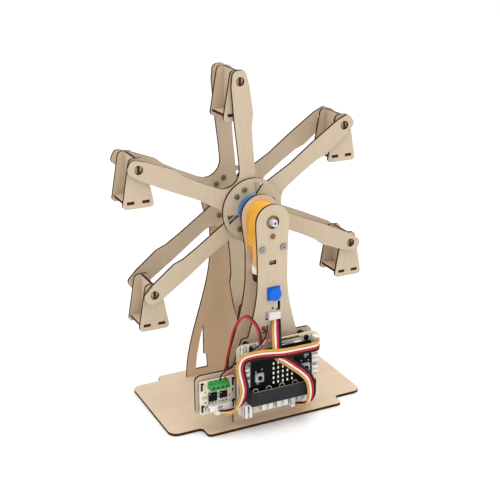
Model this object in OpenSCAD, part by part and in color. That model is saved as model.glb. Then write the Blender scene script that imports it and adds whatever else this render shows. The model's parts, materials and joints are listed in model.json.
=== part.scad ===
// Motor driven ferris wheel, a laser cut plywood coding kit.
// A base board carries three upright boards. A gear motor sits between the front two and
// turns a wheel of six arms, and six gondolas hang from the arm ends. A controller board,
// a breakout board, a motor driver and a turning dial are wired up on the front.
// Millimetres. X to the right, Y to the back, Z up. Origin under the middle of the base.

/* [Board] */
// Thickness of every wooden board
ply = 2.2; // [1.8:0.1:3]
// Gap on each side of a wooden tab in its slot
tab_gap = 0.1; // [0.05:0.05:0.2]

/* [Base] */
// Width of the base board
base_w = 170; // [150:1:200]
// Depth of the base board
base_d = 110; // [104:1:130]
// Radius of the outer corners of the base
base_corner = 7; // [3:0.5:10]
// Width of the stepped corner lobes
lobe_w = 26; // [22:1:32]
// Step back of the lobes at the front edge
lobe_front = 12.5; // [10:0.5:15]
// Step back of the lobes at the rear edge
lobe_rear = 8.5; // [7.5:0.5:12]
// Radius inside and outside the steps
lobe_fillet = 3.6; // [1:0.1:3.6]
// Width of the tabs that hold an upright in the base
tab_w = 14; // [8:1:18]
// Distance of those tabs from the middle
tab_x = 18; // [14:0.5:22]

/* [Uprights] */
// Height of the wheel axis above the table
axis_h = 163; // [158:1:180]
// Distance of the front face of the front board from the middle of the base
stand_front = 46.5; // [44:0.5:50]
// Radius of the rounded head of an upright
head_r = 15.7; // [14.5:0.1:18]
// Half width of the neck below the head
neck_half = 12.6; // [12.4:0.1:14]
// Start of the neck below the axis
neck_top = 30; // [25:1:35]
// End of the neck below the axis
neck_low = 45; // [40:1:50]
// Half width of an upright at its foot
foot_half = 36.7; // [34:0.1:40]
// Radius of the clearance hole round the motor shaft
shaft_hole_r = 5.25; // [4.5:0.05:6]
// Distance from the middle to the inner edge of a rear window
window_in = 20.5; // [19:0.5:22]
// Top of the rear windows
window_top = 49; // [40:1:52]
// Bottom of the rear windows
window_low = 8.1; // [6:0.1:10]
// Height of the little step in the rear windows
window_step = 21; // [16:1:25]
// Width of wood left beside a rear window
window_web = 8; // [6:0.5:10]

/* [Front board] */
// Half width of the lower front board on the right
front_right = 34.5; // [33:0.5:36]
// Height of the shoulders of the front board
shoulder_h = 72.4; // [71:0.1:76]
// Reach of the left shoulder
shoulder_left = 26.2; // [24:0.1:28]
// Height of the top of the side wing that carries the driver board
wing_top = 49.2; // [47:0.1:52]
// Height of the underside of the side wing
wing_low = 16.4; // [14:0.1:17]
// Reach of the side wing to the left
wing_left = 65.9; // [65:0.1:70]
// Distance from the middle to the left edge of the foot
front_left = 34.3; // [33:0.1:36]
// Width of the window for the dial
dial_window = 11.2; // [11:0.1:12.5]
// Distance of the dial below the axis
dial_drop = 57.3; // [56:0.1:59]
// Distance of the dial to the right of the middle
dial_x = 0.8; // [0:0.1:2]
// Width of the window for the dial plug
plug_window_w = 12.6; // [11:0.1:14]
// Height of the window for the dial plug
plug_window_h = 6.2; // [5.2:0.1:7]
// Distance of the plug window below the axis
plug_drop = 75.3; // [74.5:0.1:77]
// Width of the hole that the motor leads come out of
lead_hole_w = 5.5; // [4.5:0.1:7]
// Height of the hole that the motor leads come out of
lead_hole_h = 6; // [5:0.1:7]
// Height of the middle of that hole above the table
lead_hole_z = 77; // [76:0.1:78]

/* [Gear motor] */
// Depth of the gearbox
gear_d = 18.8; // [18.4:0.1:20]
// Width of the gearbox
gear_w = 22.5; // [22:0.1:24]
// Reach of the front gearbox shell below the axis
gear_low = 36; // [34:0.5:40]
// Reach of the rear gearbox shell below the axis
gear_rear_low = 19; // [18:0.5:22]
// Wall of the gearbox shells
gear_wall = 1.2; // [1:0.1:1.6]
// Distance of the locating peg below the axis
peg_drop = 11.2; // [10.5:0.1:12]
// Radius of the locating peg
peg_r = 2; // [1.5:0.1:2.1]
// Distance of the two fixing screws below the axis
fix_drop = 20.6; // [20:0.1:21.5]
// Distance of the two fixing screws from the middle
fix_x = 8.75; // [8.4:0.05:9]
// Radius of the motor can
can_r = 10; // [9.5:0.1:10]
// Depth of the motor can between its flats
can_d = 15; // [14:0.1:15.4]
// Top of the motor can below the axis
can_top = 30; // [28:0.5:32]
// Bottom of the metal can below the axis
can_low = 47.5; // [46:0.5:48]
// Bottom of the plastic end of the motor below the axis
can_end = 50.4; // [49:0.1:52]
// Top of the strap below the axis
strap_top = 37; // [36.5:0.1:38.5]
// Width of the strap
strap_w = 6; // [4:0.5:7]
// Thickness of the strap
strap_t = 0.9; // [0.6:0.1:1]
// Radius of the output shaft
shaft_r = 2.7; // [2.5:0.05:2.8]
// Distance between the flats of the output shaft
shaft_flats = 3.7; // [3.5:0.1:4]
// Length of shaft in front of the front board
shaft_out = 4; // [3:0.5:6]
// Radius of the gear on the output shaft
shaft_gear_r = 8.6; // [7:0.1:9]

/* [Hub and axle] */
// Gap between the middle board and the hub
hub_gap = 0.7; // [0.4:0.1:1.5]
// Length of the hub
hub_l = 10.6; // [9:0.1:12]
// Radius of the hub flange
hub_r = 12.6; // [12:0.1:14]
// Thickness of the hub flange
hub_flange = 3; // [2.5:0.1:4]
// Radius of the hub boss
hub_boss_r = 5.5; // [5:0.1:7]
// Radius of the axle rod
axle_r = 2; // [1.5:0.05:2.2]
// Gap between the wheel and the rear board
rear_gap = 11.2; // [9:0.1:14]
// Outer radius of the bush flange in the rear board
bush_r = 6.5; // [6:0.1:8]
// Radius of the bush barrel
bush_barrel = 4; // [3.5:0.1:5]
// Thickness of the bush flange
bush_flange = 2; // [1.5:0.1:3]

/* [Wheel] */
// Distance of the gondola pivots from the axis
pivot_r = 100; // [95:1:105]
// Radius of the two discs that tie the arm pairs together
disc_r = 25; // [24:0.5:27]
// Turn of the first arm pair from the right, seen from the front
wheel_turn = 125; // [115:1:135]
// Distance of the wheel screws from the axis
bolt_ring = 18; // [17:0.5:20]
// Turn of a wheel screw from the middle line of its arm pair
bolt_turn = 12.7; // [11:0.1:14]
// Radius of the hole at the end of each arm
pivot_hole_r = 3.5; // [3.4:0.05:4]
// Length of arm beyond the pivot
arm_end = 8.3; // [7:0.1:10]
// Half width of an arm along most of its length
arm_half = 7; // [6:0.1:7.6]
// Inner end of an arm pair
root_r = 10; // [9.5:0.1:11]
// Radius in the crotch of an arm pair
crotch_r = 13; // [8:0.5:15]

/* [Gondola] */
// Inside width of a gondola between its two sides
gondola_in = 22; // [20:0.5:24]
// Gap between the front arm and the gondola
gondola_gap = 1.2; // [0.8:0.1:2]
// Gap between the gondola and the rear arm
gondola_back_gap = 6.7; // [5:0.1:8]
// Width of a gondola side at the bottom
side_bottom = 25.5; // [24:0.5:28]
// Width of a gondola side at the top
side_top = 11.6; // [10:0.1:13]
// Reach of a gondola side above its pivot
side_up = 8; // [7:0.5:9]
// Reach of a gondola side below its pivot
side_down = 30; // [28:0.5:34]
// Corner radius at the bottom of a side
side_corner = 3; // [1:0.5:4]
// Corner radius at the top of a side
side_top_corner = 3.5; // [2:0.5:4.5]
// Width of a seat tab
seat_tab = 5.6; // [4.5:0.1:6.5]
// Distance between the two seat tabs, middle to middle
seat_pitch = 12; // [10:0.5:12.5]
// Distance of the seat board below the pivot
seat_drop = 25.3; // [24:0.1:26]
// Height of the hanger tabs that turn in the arm holes
hanger_tab = 6; // [5:0.1:6.3]

/* [Dial] */
// Width of the dial board
dial_board_w = 20; // [19:0.5:21]
// Height of the dial board
dial_board_h = 32; // [31:0.5:32]
// Thickness of the dial board
dial_board_t = 1.2; // [0.8:0.1:1.2]
// Width of the square foot of the dial
dial_foot = 10.6; // [10:0.1:10.9]
// Reach of the square foot in front of the front board
dial_foot_out = 0.7; // [0.3:0.1:1]
// Radius of the turning knob
knob_r = 6; // [5.5:0.1:6.5]
// Thickness of the turning knob
knob_t = 2.6; // [2:0.1:4]
// Radius of the stem below the knob
knob_stem_r = 1.5; // [1.2:0.1:2]

/* [Controller and breakout] */
// Thickness of the circuit boards
pcb = 1.6; // [1.2:0.1:1.8]
// Width of the breakout board
breakout_w = 70; // [66:0.5:72]
// Bottom of the breakout board above the table
breakout_low = 13; // [12:0.5:14]
// Height of the breakout board
breakout_h = 59; // [56:0.5:59]
// Corner radius of the breakout board
breakout_corner = 4; // [2:0.5:5]
// Length of the spacers behind the breakout board
spacer_l = 8.4; // [7.8:0.1:9]
// Radius of the spacers
spacer_r = 2.5; // [2.2:0.1:3]
// Radius of the board screws
board_screw_r = 1.2; // [1:0.1:1.5]
// Width of the edge connector
edge_w = 56; // [55.5:0.5:57]
// Height of the edge connector
edge_h = 11.3; // [11:0.1:12]
// Depth of the edge connector
edge_d = 10.5; // [9.5:0.1:12]
// Bottom of the edge connector above the table
edge_low = 24.4; // [24.3:0.1:25]
// Width of the controller board
controller_w = 51.6; // [50:0.1:52]
// Height of the controller board
controller_h = 42; // [40:0.5:43]
// Depth of the controller board in the connector
controller_seat = 9.7; // [9:0.1:10]
// Pitch of the light points
led_pitch = 4; // [3.5:0.1:4.2]
// Width of a light point
led_w = 1.1; // [0.8:0.1:1.5]
// Height of a light point
led_h = 1.9; // [1.4:0.1:2.2]
// Outer radius of the ring pads
pad_r = 2.8; // [2.4:0.1:3]
// Radius of the holes in the ring pads
pad_hole_r = 1.9; // [1.6:0.1:2]
// Distance between two ring pads
pad_pitch = 11.4; // [10.5:0.1:11.5]
// Width of a button case
button_w = 6.6; // [6:0.1:7]
// Distance of the buttons from the middle
button_x = 20; // [19:0.5:21]
// Radius of a button
button_r = 1.8; // [1.5:0.1:2]
// Travel of a button
button_travel = 0.25; // [0.2:0.05:0.4]

/* [Driver board] */
// Left edge of the driver board from the middle
driver_left = 63.5; // [63:0.1:64]
// Width of the driver board
driver_w = 29; // [28.5:0.1:29.2]
// Bottom of the driver board above the table
driver_low = 18; // [17:0.5:18.5]
// Height of the driver board
driver_h = 27.5; // [27:0.1:28.5]
// Gap between the front board and the driver board
driver_gap = 1.9; // [1.5:0.1:2.5]
// Width of the terminal block
terminal_w = 16; // [15:0.5:17]
// Height of the terminal block
terminal_h = 5.6; // [5.4:0.1:6]
// Depth of the terminal block
terminal_d = 6; // [5.8:0.1:7]

/* [Battery holder] */
// Width of the battery holder
battery_w = 52; // [50:0.5:54]
// Depth of the battery holder
battery_d = 13; // [12.6:0.1:14]
// Height of the battery holder
battery_h = 25; // [24.5:0.5:26]
// Wall of the battery holder
battery_wall = 1.2; // [1:0.1:1.4]
// Radius of a cell
cell_r = 5.25; // [5:0.05:5.4]
// Length of a cell
cell_l = 44.5; // [43:0.5:45]

/* [Fasteners and fits] */
// Radius of the motor screws
screw_r = 1.5; // [1.2:0.1:1.6]
// Radius of the heads of the motor screws
screw_head_r = 2.7; // [2.4:0.1:3]
// Radius of the wheel screws
bolt_r = 1.25; // [1:0.05:1.4]
// Radius of the heads of the wheel screws
bolt_head_r = 2.3; // [2:0.1:2.6]
// Height of a screw head
screw_head = 1.6; // [1.2:0.1:2]
// Thickness of a nut
nut_t = 2; // [1.6:0.1:2.4]
// Clearance of a turning shaft in its bore, on the radius
run_fit = 0.05; // [0.02:0.01:0.09]
// Clearance of a fixed piece in its hole, on each side
fix_fit = 0.06; // [0.04:0.01:0.1]

/* [Hidden] */
$fn = 32;
over = 1;
weld = 0.5;
arc_steps = 6;
flare_steps = 12;
wood = [0.86, 0.75, 0.6];

front_y = -stand_front;
motor_y = front_y + ply;
motor_mid = motor_y + gear_d / 2;
inner_y = motor_y + gear_d;
hub_y = inner_y + ply + hub_gap;
disc_y = hub_y + hub_l;
arm_y = disc_y + ply;
gondola_y = arm_y + ply + gondola_gap;
gondola_d = gondola_in + 2 * ply;
rear_arm_y = gondola_y + gondola_d + gondola_back_gap;
rear_disc_y = rear_arm_y + ply;
rear_y = rear_disc_y + ply + rear_gap;
foot_drop = axis_h - ply;
fix_z = axis_h - fix_drop;
dial_z = axis_h - dial_drop;
plug_z = axis_h - plug_drop;

// Outline helpers: a corner is [x, y, radius].
function unit(v) = v / norm(v);
function heading(v) = atan2(v[1], v[0]);
function turn_of(a) = a > 180 ? a - 360 : a < -180 ? a + 360 : a;
function corner_arc(a, b, c, r) =
    let (u = unit(a - b), v = unit(c - b), open = acos(u * v),
         from = b + u * r / tan(open / 2), to = b + v * r / tan(open / 2),
         mid = b + unit(u + v) * r / sin(open / 2),
         start = heading(from - mid), sweep = turn_of(heading(to - mid) - start))
    [for (i = [0:arc_steps]) mid + r * [cos(start + sweep * i / arc_steps),
                                        sin(start + sweep * i / arc_steps)]];
function flat2(p) = [p[0], p[1]];
function round_path(pts) =
    [for (i = [0:len(pts) - 1])
        let (a = pts[(i + len(pts) - 1) % len(pts)], b = pts[i], c = pts[(i + 1) % len(pts)])
        each (b[2] > 0 ? corner_arc(flat2(a), flat2(b), flat2(c), b[2]) : [flat2(b)])];
function polar(r, a) = r * [cos(a), sin(a)];
function smooth(t) = t * t * (3 - 2 * t);

// Half width of an upright at a height above the table.
function half_at(z) =
    let (drop = axis_h - z)
    drop <= 0 ? head_r :
    drop < neck_top ? neck_half + (head_r - neck_half) * smooth(1 - drop / neck_top) :
    drop < neck_low ? neck_half :
    neck_half + (foot_half - neck_half) * smooth((drop - neck_low) / (foot_drop - neck_low));
function flare_heights(from) =
    [for (i = [0:flare_steps]) from + (axis_h - neck_low - from) * i / flare_steps];
function neck_heights() =
    [for (i = [0:flare_steps / 2]) axis_h - neck_top + neck_top * i / (flare_steps / 2)];
function upper_side(from) =
    [for (z = concat(flare_heights(from), neck_heights())) [half_at(z), z]];
function head_arc() = [for (a = [12:12:168]) [0, axis_h] + polar(head_r, a)];
function mirrored(pts) = [for (i = [len(pts) - 1:-1:0]) [-pts[i][0], pts[i][1]]];
function tower(from) = concat(upper_side(from), head_arc(), mirrored(upper_side(from)));

// A board in the plane of the wheel, drawn as width and height.
module upright(y, t = ply) {
    translate([0, y + t, 0]) rotate([90, 0, 0]) linear_extrude(t) children();
}

module rod(r, x, y, z, l) {
    translate([x, y, z]) rotate([-90, 0, 0]) cylinder(r = r, h = l);
}

module box(x0, x1, y0, y1, z0, z1) {
    translate([x0, y0, z0]) cube([x1 - x0, y1 - y0, z1 - z0]);
}

module opening(x, z, w, h) {
    translate([x - w / 2, z - h / 2]) square([w, h]);
}

module foot_tabs() {
    for (s = [-1, 1]) translate([s * tab_x - tab_w / 2, 0]) square([tab_w, ply + weld]);
}

module wheel_hole(r, y, t = ply) {
    rod(r, 0, y - over, axis_h, t + 2 * over);
}

/* Boards of the stand */
lobe_x = base_w / 2 - lobe_w;
base_path = [
    [-base_w / 2, -base_d / 2 + lobe_front, base_corner], [-lobe_x, -base_d / 2 + lobe_front, lobe_fillet],
    [-lobe_x, -base_d / 2, lobe_fillet], [lobe_x, -base_d / 2, lobe_fillet],
    [lobe_x, -base_d / 2 + lobe_front, lobe_fillet], [base_w / 2, -base_d / 2 + lobe_front, base_corner],
    [base_w / 2, base_d / 2 - lobe_rear, base_corner], [lobe_x, base_d / 2 - lobe_rear, lobe_fillet],
    [lobe_x, base_d / 2, lobe_fillet], [-lobe_x, base_d / 2, lobe_fillet],
    [-lobe_x, base_d / 2 - lobe_rear, lobe_fillet], [-base_w / 2, base_d / 2 - lobe_rear, base_corner]];

module base_plate() {
    color(wood) linear_extrude(ply) difference() {
        polygon(round_path(base_path));
        for (y = [front_y, inner_y, rear_y], s = [-1, 1])
            translate([s * tab_x - tab_w / 2 - tab_gap, y - tab_gap])
                square([tab_w + 2 * tab_gap, ply + 2 * tab_gap]);
    }
}

// Radii of the lower corners of the front board follow the wing.
wing_corner = 4.5;
wing_inner = 5;
shoulder_corner = 2;
wing_base = front_left - 0.1 * ply;
front_low = round_path([
    [-half_at(shoulder_h), shoulder_h, 0], [-shoulder_left, shoulder_h, shoulder_corner],
    [-front_left, wing_top, wing_inner], [-wing_left, wing_top, wing_corner],
    [-wing_left, wing_low, wing_corner], [-wing_base, wing_low, 0], [-wing_base, ply, 0],
    [front_right, ply, 0], [front_right, shoulder_h, wing_inner],
    [half_at(shoulder_h), shoulder_h, 0]]);
// The slot under the motor, the slot and the pin hole between dial and plug.
vent_w = 5.8;
vent_h = 3.4;
vent_drop = 32;
stem_slot_w = 3.5;
stem_slot_h = 7.4;
stem_slot_x = 4.7;
stem_slot_drop = 67.8;
pin_hole_r = 0.9;
pin_drop = 69.5;
lead_hole_x = -6.8;

module front_plate() {
    color(wood) difference() {
        upright(front_y) difference() {
            union() {
                polygon(concat(front_low, upper_side(shoulder_h), head_arc(),
                    mirrored(upper_side(shoulder_h))));
                foot_tabs();
            }
            opening(0, axis_h - vent_drop, vent_w, vent_h);
            opening(dial_x, dial_z, dial_window, dial_window);
            opening(stem_slot_x, axis_h - stem_slot_drop, stem_slot_w, stem_slot_h);
            opening(0, plug_z, plug_window_w, plug_window_h);
            opening(lead_hole_x, lead_hole_z, lead_hole_w, lead_hole_h);
        }
        wheel_hole(shaft_hole_r, front_y);
        rod(peg_r + fix_fit, 0, front_y - over, axis_h - peg_drop, ply + 2 * over);
        rod(pin_hole_r, 0, front_y - over, axis_h - pin_drop, ply + 2 * over);
        for (s = [-1, 1])
            rod(screw_r + fix_fit, s * fix_x, front_y - over, fix_z, ply + 2 * over);
    }
}

module inner_plate() {
    color(wood) difference() {
        upright(inner_y) {
            polygon(tower(ply));
            foot_tabs();
        }
        wheel_hole(shaft_hole_r, inner_y);
        for (s = [-1, 1])
            rod(screw_r + fix_fit, s * fix_x, inner_y - over, fix_z, ply + 2 * over);
    }
}

// Inner edge of a window below its step, measured in from the edge above it.
window_lip = 2.7;
window_slant = 0.6;
function window_edge(z) = -(half_at(z) - window_web);
module rear_window() {
    polygon([
        [-window_in, window_top], [-window_in, window_step],
        [-window_in + window_lip, window_step - window_slant],
        [-window_in + window_lip + window_slant, window_low],
        [window_edge(window_low), window_low], [window_edge(window_step), window_step],
        [window_edge((window_step + window_top) / 2), (window_step + window_top) / 2]]);
}

module rear_plate() {
    color(wood) difference() {
        upright(rear_y) difference() {
            union() {
                polygon(tower(ply));
                foot_tabs();
            }
            rear_window();
            mirror([1, 0]) rear_window();
        }
        wheel_hole(bush_barrel + fix_fit, rear_y);
    }
}

/* Gear motor */
boss_r = 4.2;
fix_boss_r = 2.8;
gear_tail = can_top - 2 * fix_fit;
module gear_outline(low, inset = 0) {
    circle(gear_w / 2 - inset);
    translate([-gear_w / 2 + inset, -low + inset]) square([gear_w - 2 * inset, low - inset]);
}

module can_body(r, d, z0, z1) {
    translate([0, motor_mid, z0]) intersection() {
        cylinder(r = r, h = z1 - z0);
        translate([-r, -d / 2, 0]) cube([2 * r, d, z1 - z0]);
    }
}

// Bore on the split line that the motor shaft passes up through.
motor_shaft_r = 1;
pinion_bore_r = 1.6;
module pinion_bore() {
    translate([0, motor_mid, axis_h - can_top - over])
        cylinder(r = pinion_bore_r, h = can_top - gear_rear_low + gear_wall + 2 * over);
}

module gearbox_front() {
    color([0.96, 0.7, 0.13]) difference() {
        union() {
            difference() {
                upright(motor_y, gear_d / 2) translate([0, axis_h]) gear_outline(gear_low);
                upright(motor_y + gear_wall, gear_d / 2) translate([0, axis_h])
                    gear_outline(gear_rear_low, gear_wall);
            }
            rod(boss_r, 0, motor_y, axis_h, 2 * gear_wall);
            rod(peg_r, 0, front_y - gear_wall / 2, axis_h - peg_drop, ply + gear_wall);
        }
        rod(shaft_r + run_fit, 0, motor_y - over, axis_h, 2 * gear_wall + 2 * over);
        for (s = [-1, 1])
            rod(screw_r + fix_fit, s * fix_x, motor_y - over, fix_z, gear_d + 2 * over);
        can_body(can_r + fix_fit, can_d + 2 * fix_fit, axis_h - gear_low - over,
            axis_h - can_top);
        pinion_bore();
    }
}

module gearbox_rear() {
    color([0.96, 0.7, 0.13]) difference() {
        union() {
            difference() {
                union() {
                    upright(motor_mid, gear_d / 2) translate([0, axis_h]) {
                        gear_outline(gear_rear_low);
                        polygon([[-gear_w / 2, -gear_rear_low + weld],
                            [gear_w / 2, -gear_rear_low + weld],
                            [gear_w / 3, -gear_tail], [-gear_w / 3, -gear_tail]]);
                    }
                    for (s = [-1, 1]) rod(fix_boss_r, s * fix_x, motor_mid, fix_z, gear_d / 2);
                }
                upright(motor_mid - gear_wall, gear_d / 2) translate([0, axis_h])
                    gear_outline(gear_rear_low, gear_wall);
            }
            rod(boss_r, 0, inner_y - 2 * gear_wall, axis_h, 2 * gear_wall);
        }
        rod(shaft_r + run_fit, 0, inner_y - 2 * gear_wall - over, axis_h,
            2 * gear_wall + 2 * over);
        for (s = [-1, 1])
            rod(screw_r + fix_fit, s * fix_x, motor_mid - over, fix_z, gear_d + 2 * over);
        pinion_bore();
    }
}

// The motor shaft ends in a small pinion inside the gearbox.
pinion_r = 1.5;
pinion_l = 4;
module motor_can() {
    color([0.72, 0.73, 0.75]) {
        can_body(can_r, can_d, axis_h - can_low, axis_h - can_top);
        translate([0, motor_mid, axis_h - can_top - weld])
            cylinder(r = motor_shaft_r, h = can_top - gear_rear_low + weld);
        translate([0, motor_mid, axis_h - gear_rear_low - pinion_l])
            cylinder(r = pinion_r, h = pinion_l);
    }
}

module motor_strap() {
    color([0.93, 0.93, 0.9]) {
        difference() {
            can_body(can_r + strap_t, can_d + 2 * strap_t, axis_h - strap_top - strap_w,
                axis_h - strap_top);
            can_body(can_r, can_d, axis_h - can_low, axis_h - can_top);
        }
        can_body(can_r - strap_t / 2, can_d - strap_t, axis_h - can_end, axis_h - can_low);
    }
}

recess_r = 0.8;
module pan_head(r, x, y, z, way) {
    translate([x, y, z]) rotate([way * 90, 0, 0]) difference() {
        cylinder(r1 = r, r2 = r - screw_head / 3, h = screw_head);
        translate([0, 0, screw_head / 2]) cylinder(r = recess_r, h = screw_head, $fn = 6);
    }
}

module nut(r, x, y, z) {
    difference() {
        translate([x, y, z]) rotate([-90, 0, 0]) cylinder(r = 2.2 * r, h = nut_t, $fn = 6);
        rod(r + run_fit, x, y - over, z, nut_t + 2 * over);
    }
}

module motor_screws() {
    color([0.75, 0.75, 0.77]) for (s = [-1, 1]) {
        pan_head(screw_head_r, s * fix_x, front_y, fix_z, 1);
        rod(screw_r, s * fix_x, front_y - weld / 2, fix_z,
            inner_y + ply + nut_t + weld - front_y);
    }
}

module motor_nuts() {
    color([0.75, 0.75, 0.77]) for (s = [-1, 1]) nut(screw_r, s * fix_x, inner_y + ply, fix_z);
}

/* Shaft, hub and axle */
gear_teeth = 26;
tooth_share = 0.11;
gear_face = 4;
flat_l = 5;
hub_bore_l = 6.6;
tip_hole_r = 0.7;
module shaft_gear() {
    upright(motor_mid - gear_face / 2, gear_face) translate([0, axis_h])
        polygon([for (i = [0:gear_teeth * 4 - 1])
            polar(shaft_gear_r * (i % 4 < 2 ? 1 : 1 - tooth_share), i * 90 / gear_teeth)]);
}

module flats(y, l, gap) {
    for (s = [-1, 1]) translate([s * (shaft_flats / 2 + gap) - (s < 0 ? 2 * shaft_r : 0),
        y, axis_h - 2 * shaft_r]) cube([2 * shaft_r, l, 4 * shaft_r]);
}

shaft_y = front_y - shaft_out;
shaft_l = hub_y + hub_bore_l - shaft_y;
module output_shaft() {
    color([0.95, 0.95, 0.93]) difference() {
        union() {
            rod(shaft_r, 0, shaft_y, axis_h, shaft_l);
            shaft_gear();
        }
        flats(shaft_y - over, flat_l + over, 0);
        flats(hub_y - hub_gap / 2, hub_bore_l + hub_gap + over, 0);
        rod(tip_hole_r, 0, shaft_y - over, axis_h, flat_l);
    }
}

hub_pin_ring = 6.85;
module drive_hub() {
    color([0.1, 0.42, 0.78]) difference() {
        union() {
            rod(hub_boss_r, 0, hub_y, axis_h, hub_l);
            rod(hub_r, 0, disc_y - hub_flange, axis_h, hub_flange);
        }
        difference() {
            rod(shaft_r + run_fit, 0, hub_y - over, axis_h, hub_bore_l + over);
            flats(hub_y - 2 * over, hub_bore_l + 4 * over, run_fit);
        }
        rod(axle_r + run_fit, 0, hub_y + hub_bore_l, axis_h, hub_l);
        for (i = [0:2]) hub_pin(i, bolt_r + fix_fit, over);
    }
}

hub_screw_turn = 20;
module hub_pin(i, r, extra) {
    p = polar(hub_pin_ring, wheel_turn - bolt_turn - hub_screw_turn + i * 120);
    rod(r, p[0], disc_y - hub_flange + gear_wall / 2, axis_h + p[1],
        hub_flange - gear_wall / 2 + extra);
}

axle_y = hub_y + hub_bore_l;
axle_out = 3;
axle_l = rear_y + ply + axle_out - axle_y;
module rear_axle() {
    color([0.78, 0.78, 0.8]) {
        rod(axle_r, 0, axle_y, axis_h, axle_l);
    }
}

module rear_bush() {
    color([0.93, 0.93, 0.9]) difference() {
        union() {
            rod(bush_barrel, 0, rear_y - bush_flange, axis_h, bush_flange + ply);
            rod(bush_r, 0, rear_y - bush_flange, axis_h, bush_flange);
        }
        rod(axle_r + run_fit, 0, rear_y - 2 * bush_flange, axis_h, ply + 4 * bush_flange);
    }
}

/* Wheel */
// A point on an arm: along it from the axis, and off its middle line.
function on_arm(dir, along, off) = polar(along, dir) + polar(off, dir + 90);
function spot(p, r) = [p[0], p[1], r];
function arm_side_in(dir) = [
    spot(on_arm(dir, 0.52 * pivot_r, -0.87 * arm_half), 0),
    spot(on_arm(dir, 0.66 * pivot_r, -0.96 * arm_half), 0),
    spot(on_arm(dir, 0.74 * pivot_r, -1.24 * arm_half), 0.4 * arm_half),
    spot(on_arm(dir, 0.96 * pivot_r, -1.05 * arm_half), 0),
    spot(on_arm(dir, pivot_r + arm_end, -0.72 * arm_half), 0.6 * arm_half)];
function arm_side_out(dir) = [
    spot(on_arm(dir, pivot_r + arm_end, 0.72 * arm_half), 0.6 * arm_half),
    spot(on_arm(dir, 0.97 * pivot_r, 1.03 * arm_half), 0),
    spot(on_arm(dir, 0.7 * pivot_r, 1.06 * arm_half), 0),
    spot(on_arm(dir, 0.46 * pivot_r, 0.96 * arm_half), 0)];
function crotch(dir) = polar(0.92 * arm_half / sin(30), dir);
function arm_pair(dir) = concat(
    [spot(on_arm(dir - 30, 0.8 * root_r, -0.87 * arm_half), 0)],
    arm_side_in(dir - 30), arm_side_out(dir - 30),
    [spot(crotch(dir), crotch_r)],
    arm_side_in(dir + 30), arm_side_out(dir + 30),
    [spot(on_arm(dir + 30, 0.9 * disc_r, 1.24 * arm_half), 0.3 * arm_half),
     spot(polar(0.9 * root_r, dir + 46), 0)]);

function bolt_at(dir, s) = polar(bolt_ring, dir + s * bolt_turn);
module arm_board(dir, y) {
    color(wood) difference() {
        upright(y) translate([0, axis_h]) polygon(round_path(arm_pair(dir)));
        wheel_hole(root_r, y);
        for (s = [-1, 1]) {
            b = bolt_at(dir, s);
            rod(bolt_r + fix_fit, b[0], y - over, axis_h + b[1], ply + 2 * over);
            p = polar(pivot_r, dir + s * 30);
            rod(pivot_hole_r, p[0], y - over, axis_h + p[1], ply + 2 * over);
        }
    }
}

// The window between two arm pairs, a wedge that widens outwards.
window_share = 0.51;
window_end_share = 0.86;
window_half_share = 0.16;
window_dir = 70;
module disc_board(y, hub) {
    color(wood) difference() {
        upright(y) translate([0, axis_h]) difference() {
            circle(disc_r, $fn = 96);
            for (i = [0:2]) rotate(wheel_turn - 120 + window_dir + i * 120)
                polygon([[window_share * disc_r, -window_half_share * disc_r / 8],
                    [window_end_share * disc_r, -window_half_share * disc_r],
                    [window_end_share * disc_r, window_half_share * disc_r],
                    [window_share * disc_r, window_half_share * disc_r / 8]]);
        }
        wheel_hole(axle_r + fix_fit, y);
        for (i = [0:2], s = [-1, 1]) {
            b = bolt_at(wheel_turn + i * 120, s);
            rod(bolt_r + fix_fit, b[0], y - over, axis_h + b[1], ply + 2 * over);
        }
        if (hub) for (i = [0:2]) hub_pin(i, bolt_r + fix_fit, ply + over);
    }
}

bolt_l = 2 * ply + nut_t + weld;
module wheel_screws() {
    color([0.7, 0.7, 0.72]) {
        for (i = [0:2], s = [-1, 1]) {
            b = bolt_at(wheel_turn + i * 120, s);
            pan_head(bolt_head_r, b[0], disc_y, axis_h + b[1], 1);
            rod(bolt_r, b[0], disc_y - weld / 2, axis_h + b[1], bolt_l);
            pan_head(bolt_head_r, b[0], rear_arm_y, axis_h + b[1], 1);
            rod(bolt_r, b[0], rear_arm_y - weld / 2, axis_h + b[1], bolt_l);
        }
        for (i = [0:2]) {
            hub_pin(i, bolt_r, ply + weld);
            p = polar(hub_pin_ring, wheel_turn - bolt_turn - hub_screw_turn + i * 120);
            pan_head(bolt_head_r, p[0], disc_y + ply, axis_h + p[1], -1);
        }
    }
}

// Nuts of the wheel screws, and the axle nuts that clamp the rear disc.
module wheel_nuts() {
    color([0.7, 0.7, 0.72]) {
        for (i = [0:2], s = [-1, 1]) {
            b = bolt_at(wheel_turn + i * 120, s);
            nut(bolt_r, b[0], arm_y + ply, axis_h + b[1]);
            nut(bolt_r, b[0], rear_disc_y + ply, axis_h + b[1]);
        }
        nut(axle_r, 0, disc_y + ply, axis_h);
        nut(axle_r, 0, rear_disc_y - nut_t, axis_h);
        nut(axle_r, 0, rear_disc_y + ply, axis_h);
        nut(axle_r, 0, rear_y + ply + nut_t / 4, axis_h);
    }
}

/* Gondolas, numbered round the wheel */
gondola_turns = [for (i = [0:2], s = [-1, 1]) wheel_turn + i * 120 + s * 30];
side_path = round_path([
    [-side_bottom / 2, -side_down, side_corner], [side_bottom / 2, -side_down, side_corner],
    [side_top / 2, side_up, side_top_corner], [-side_top / 2, side_up, side_top_corner]]);

module at_pivot(i) {
    p = polar(pivot_r, gondola_turns[i]);
    translate([p[0], 0, axis_h + p[1]]) children();
}

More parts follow.
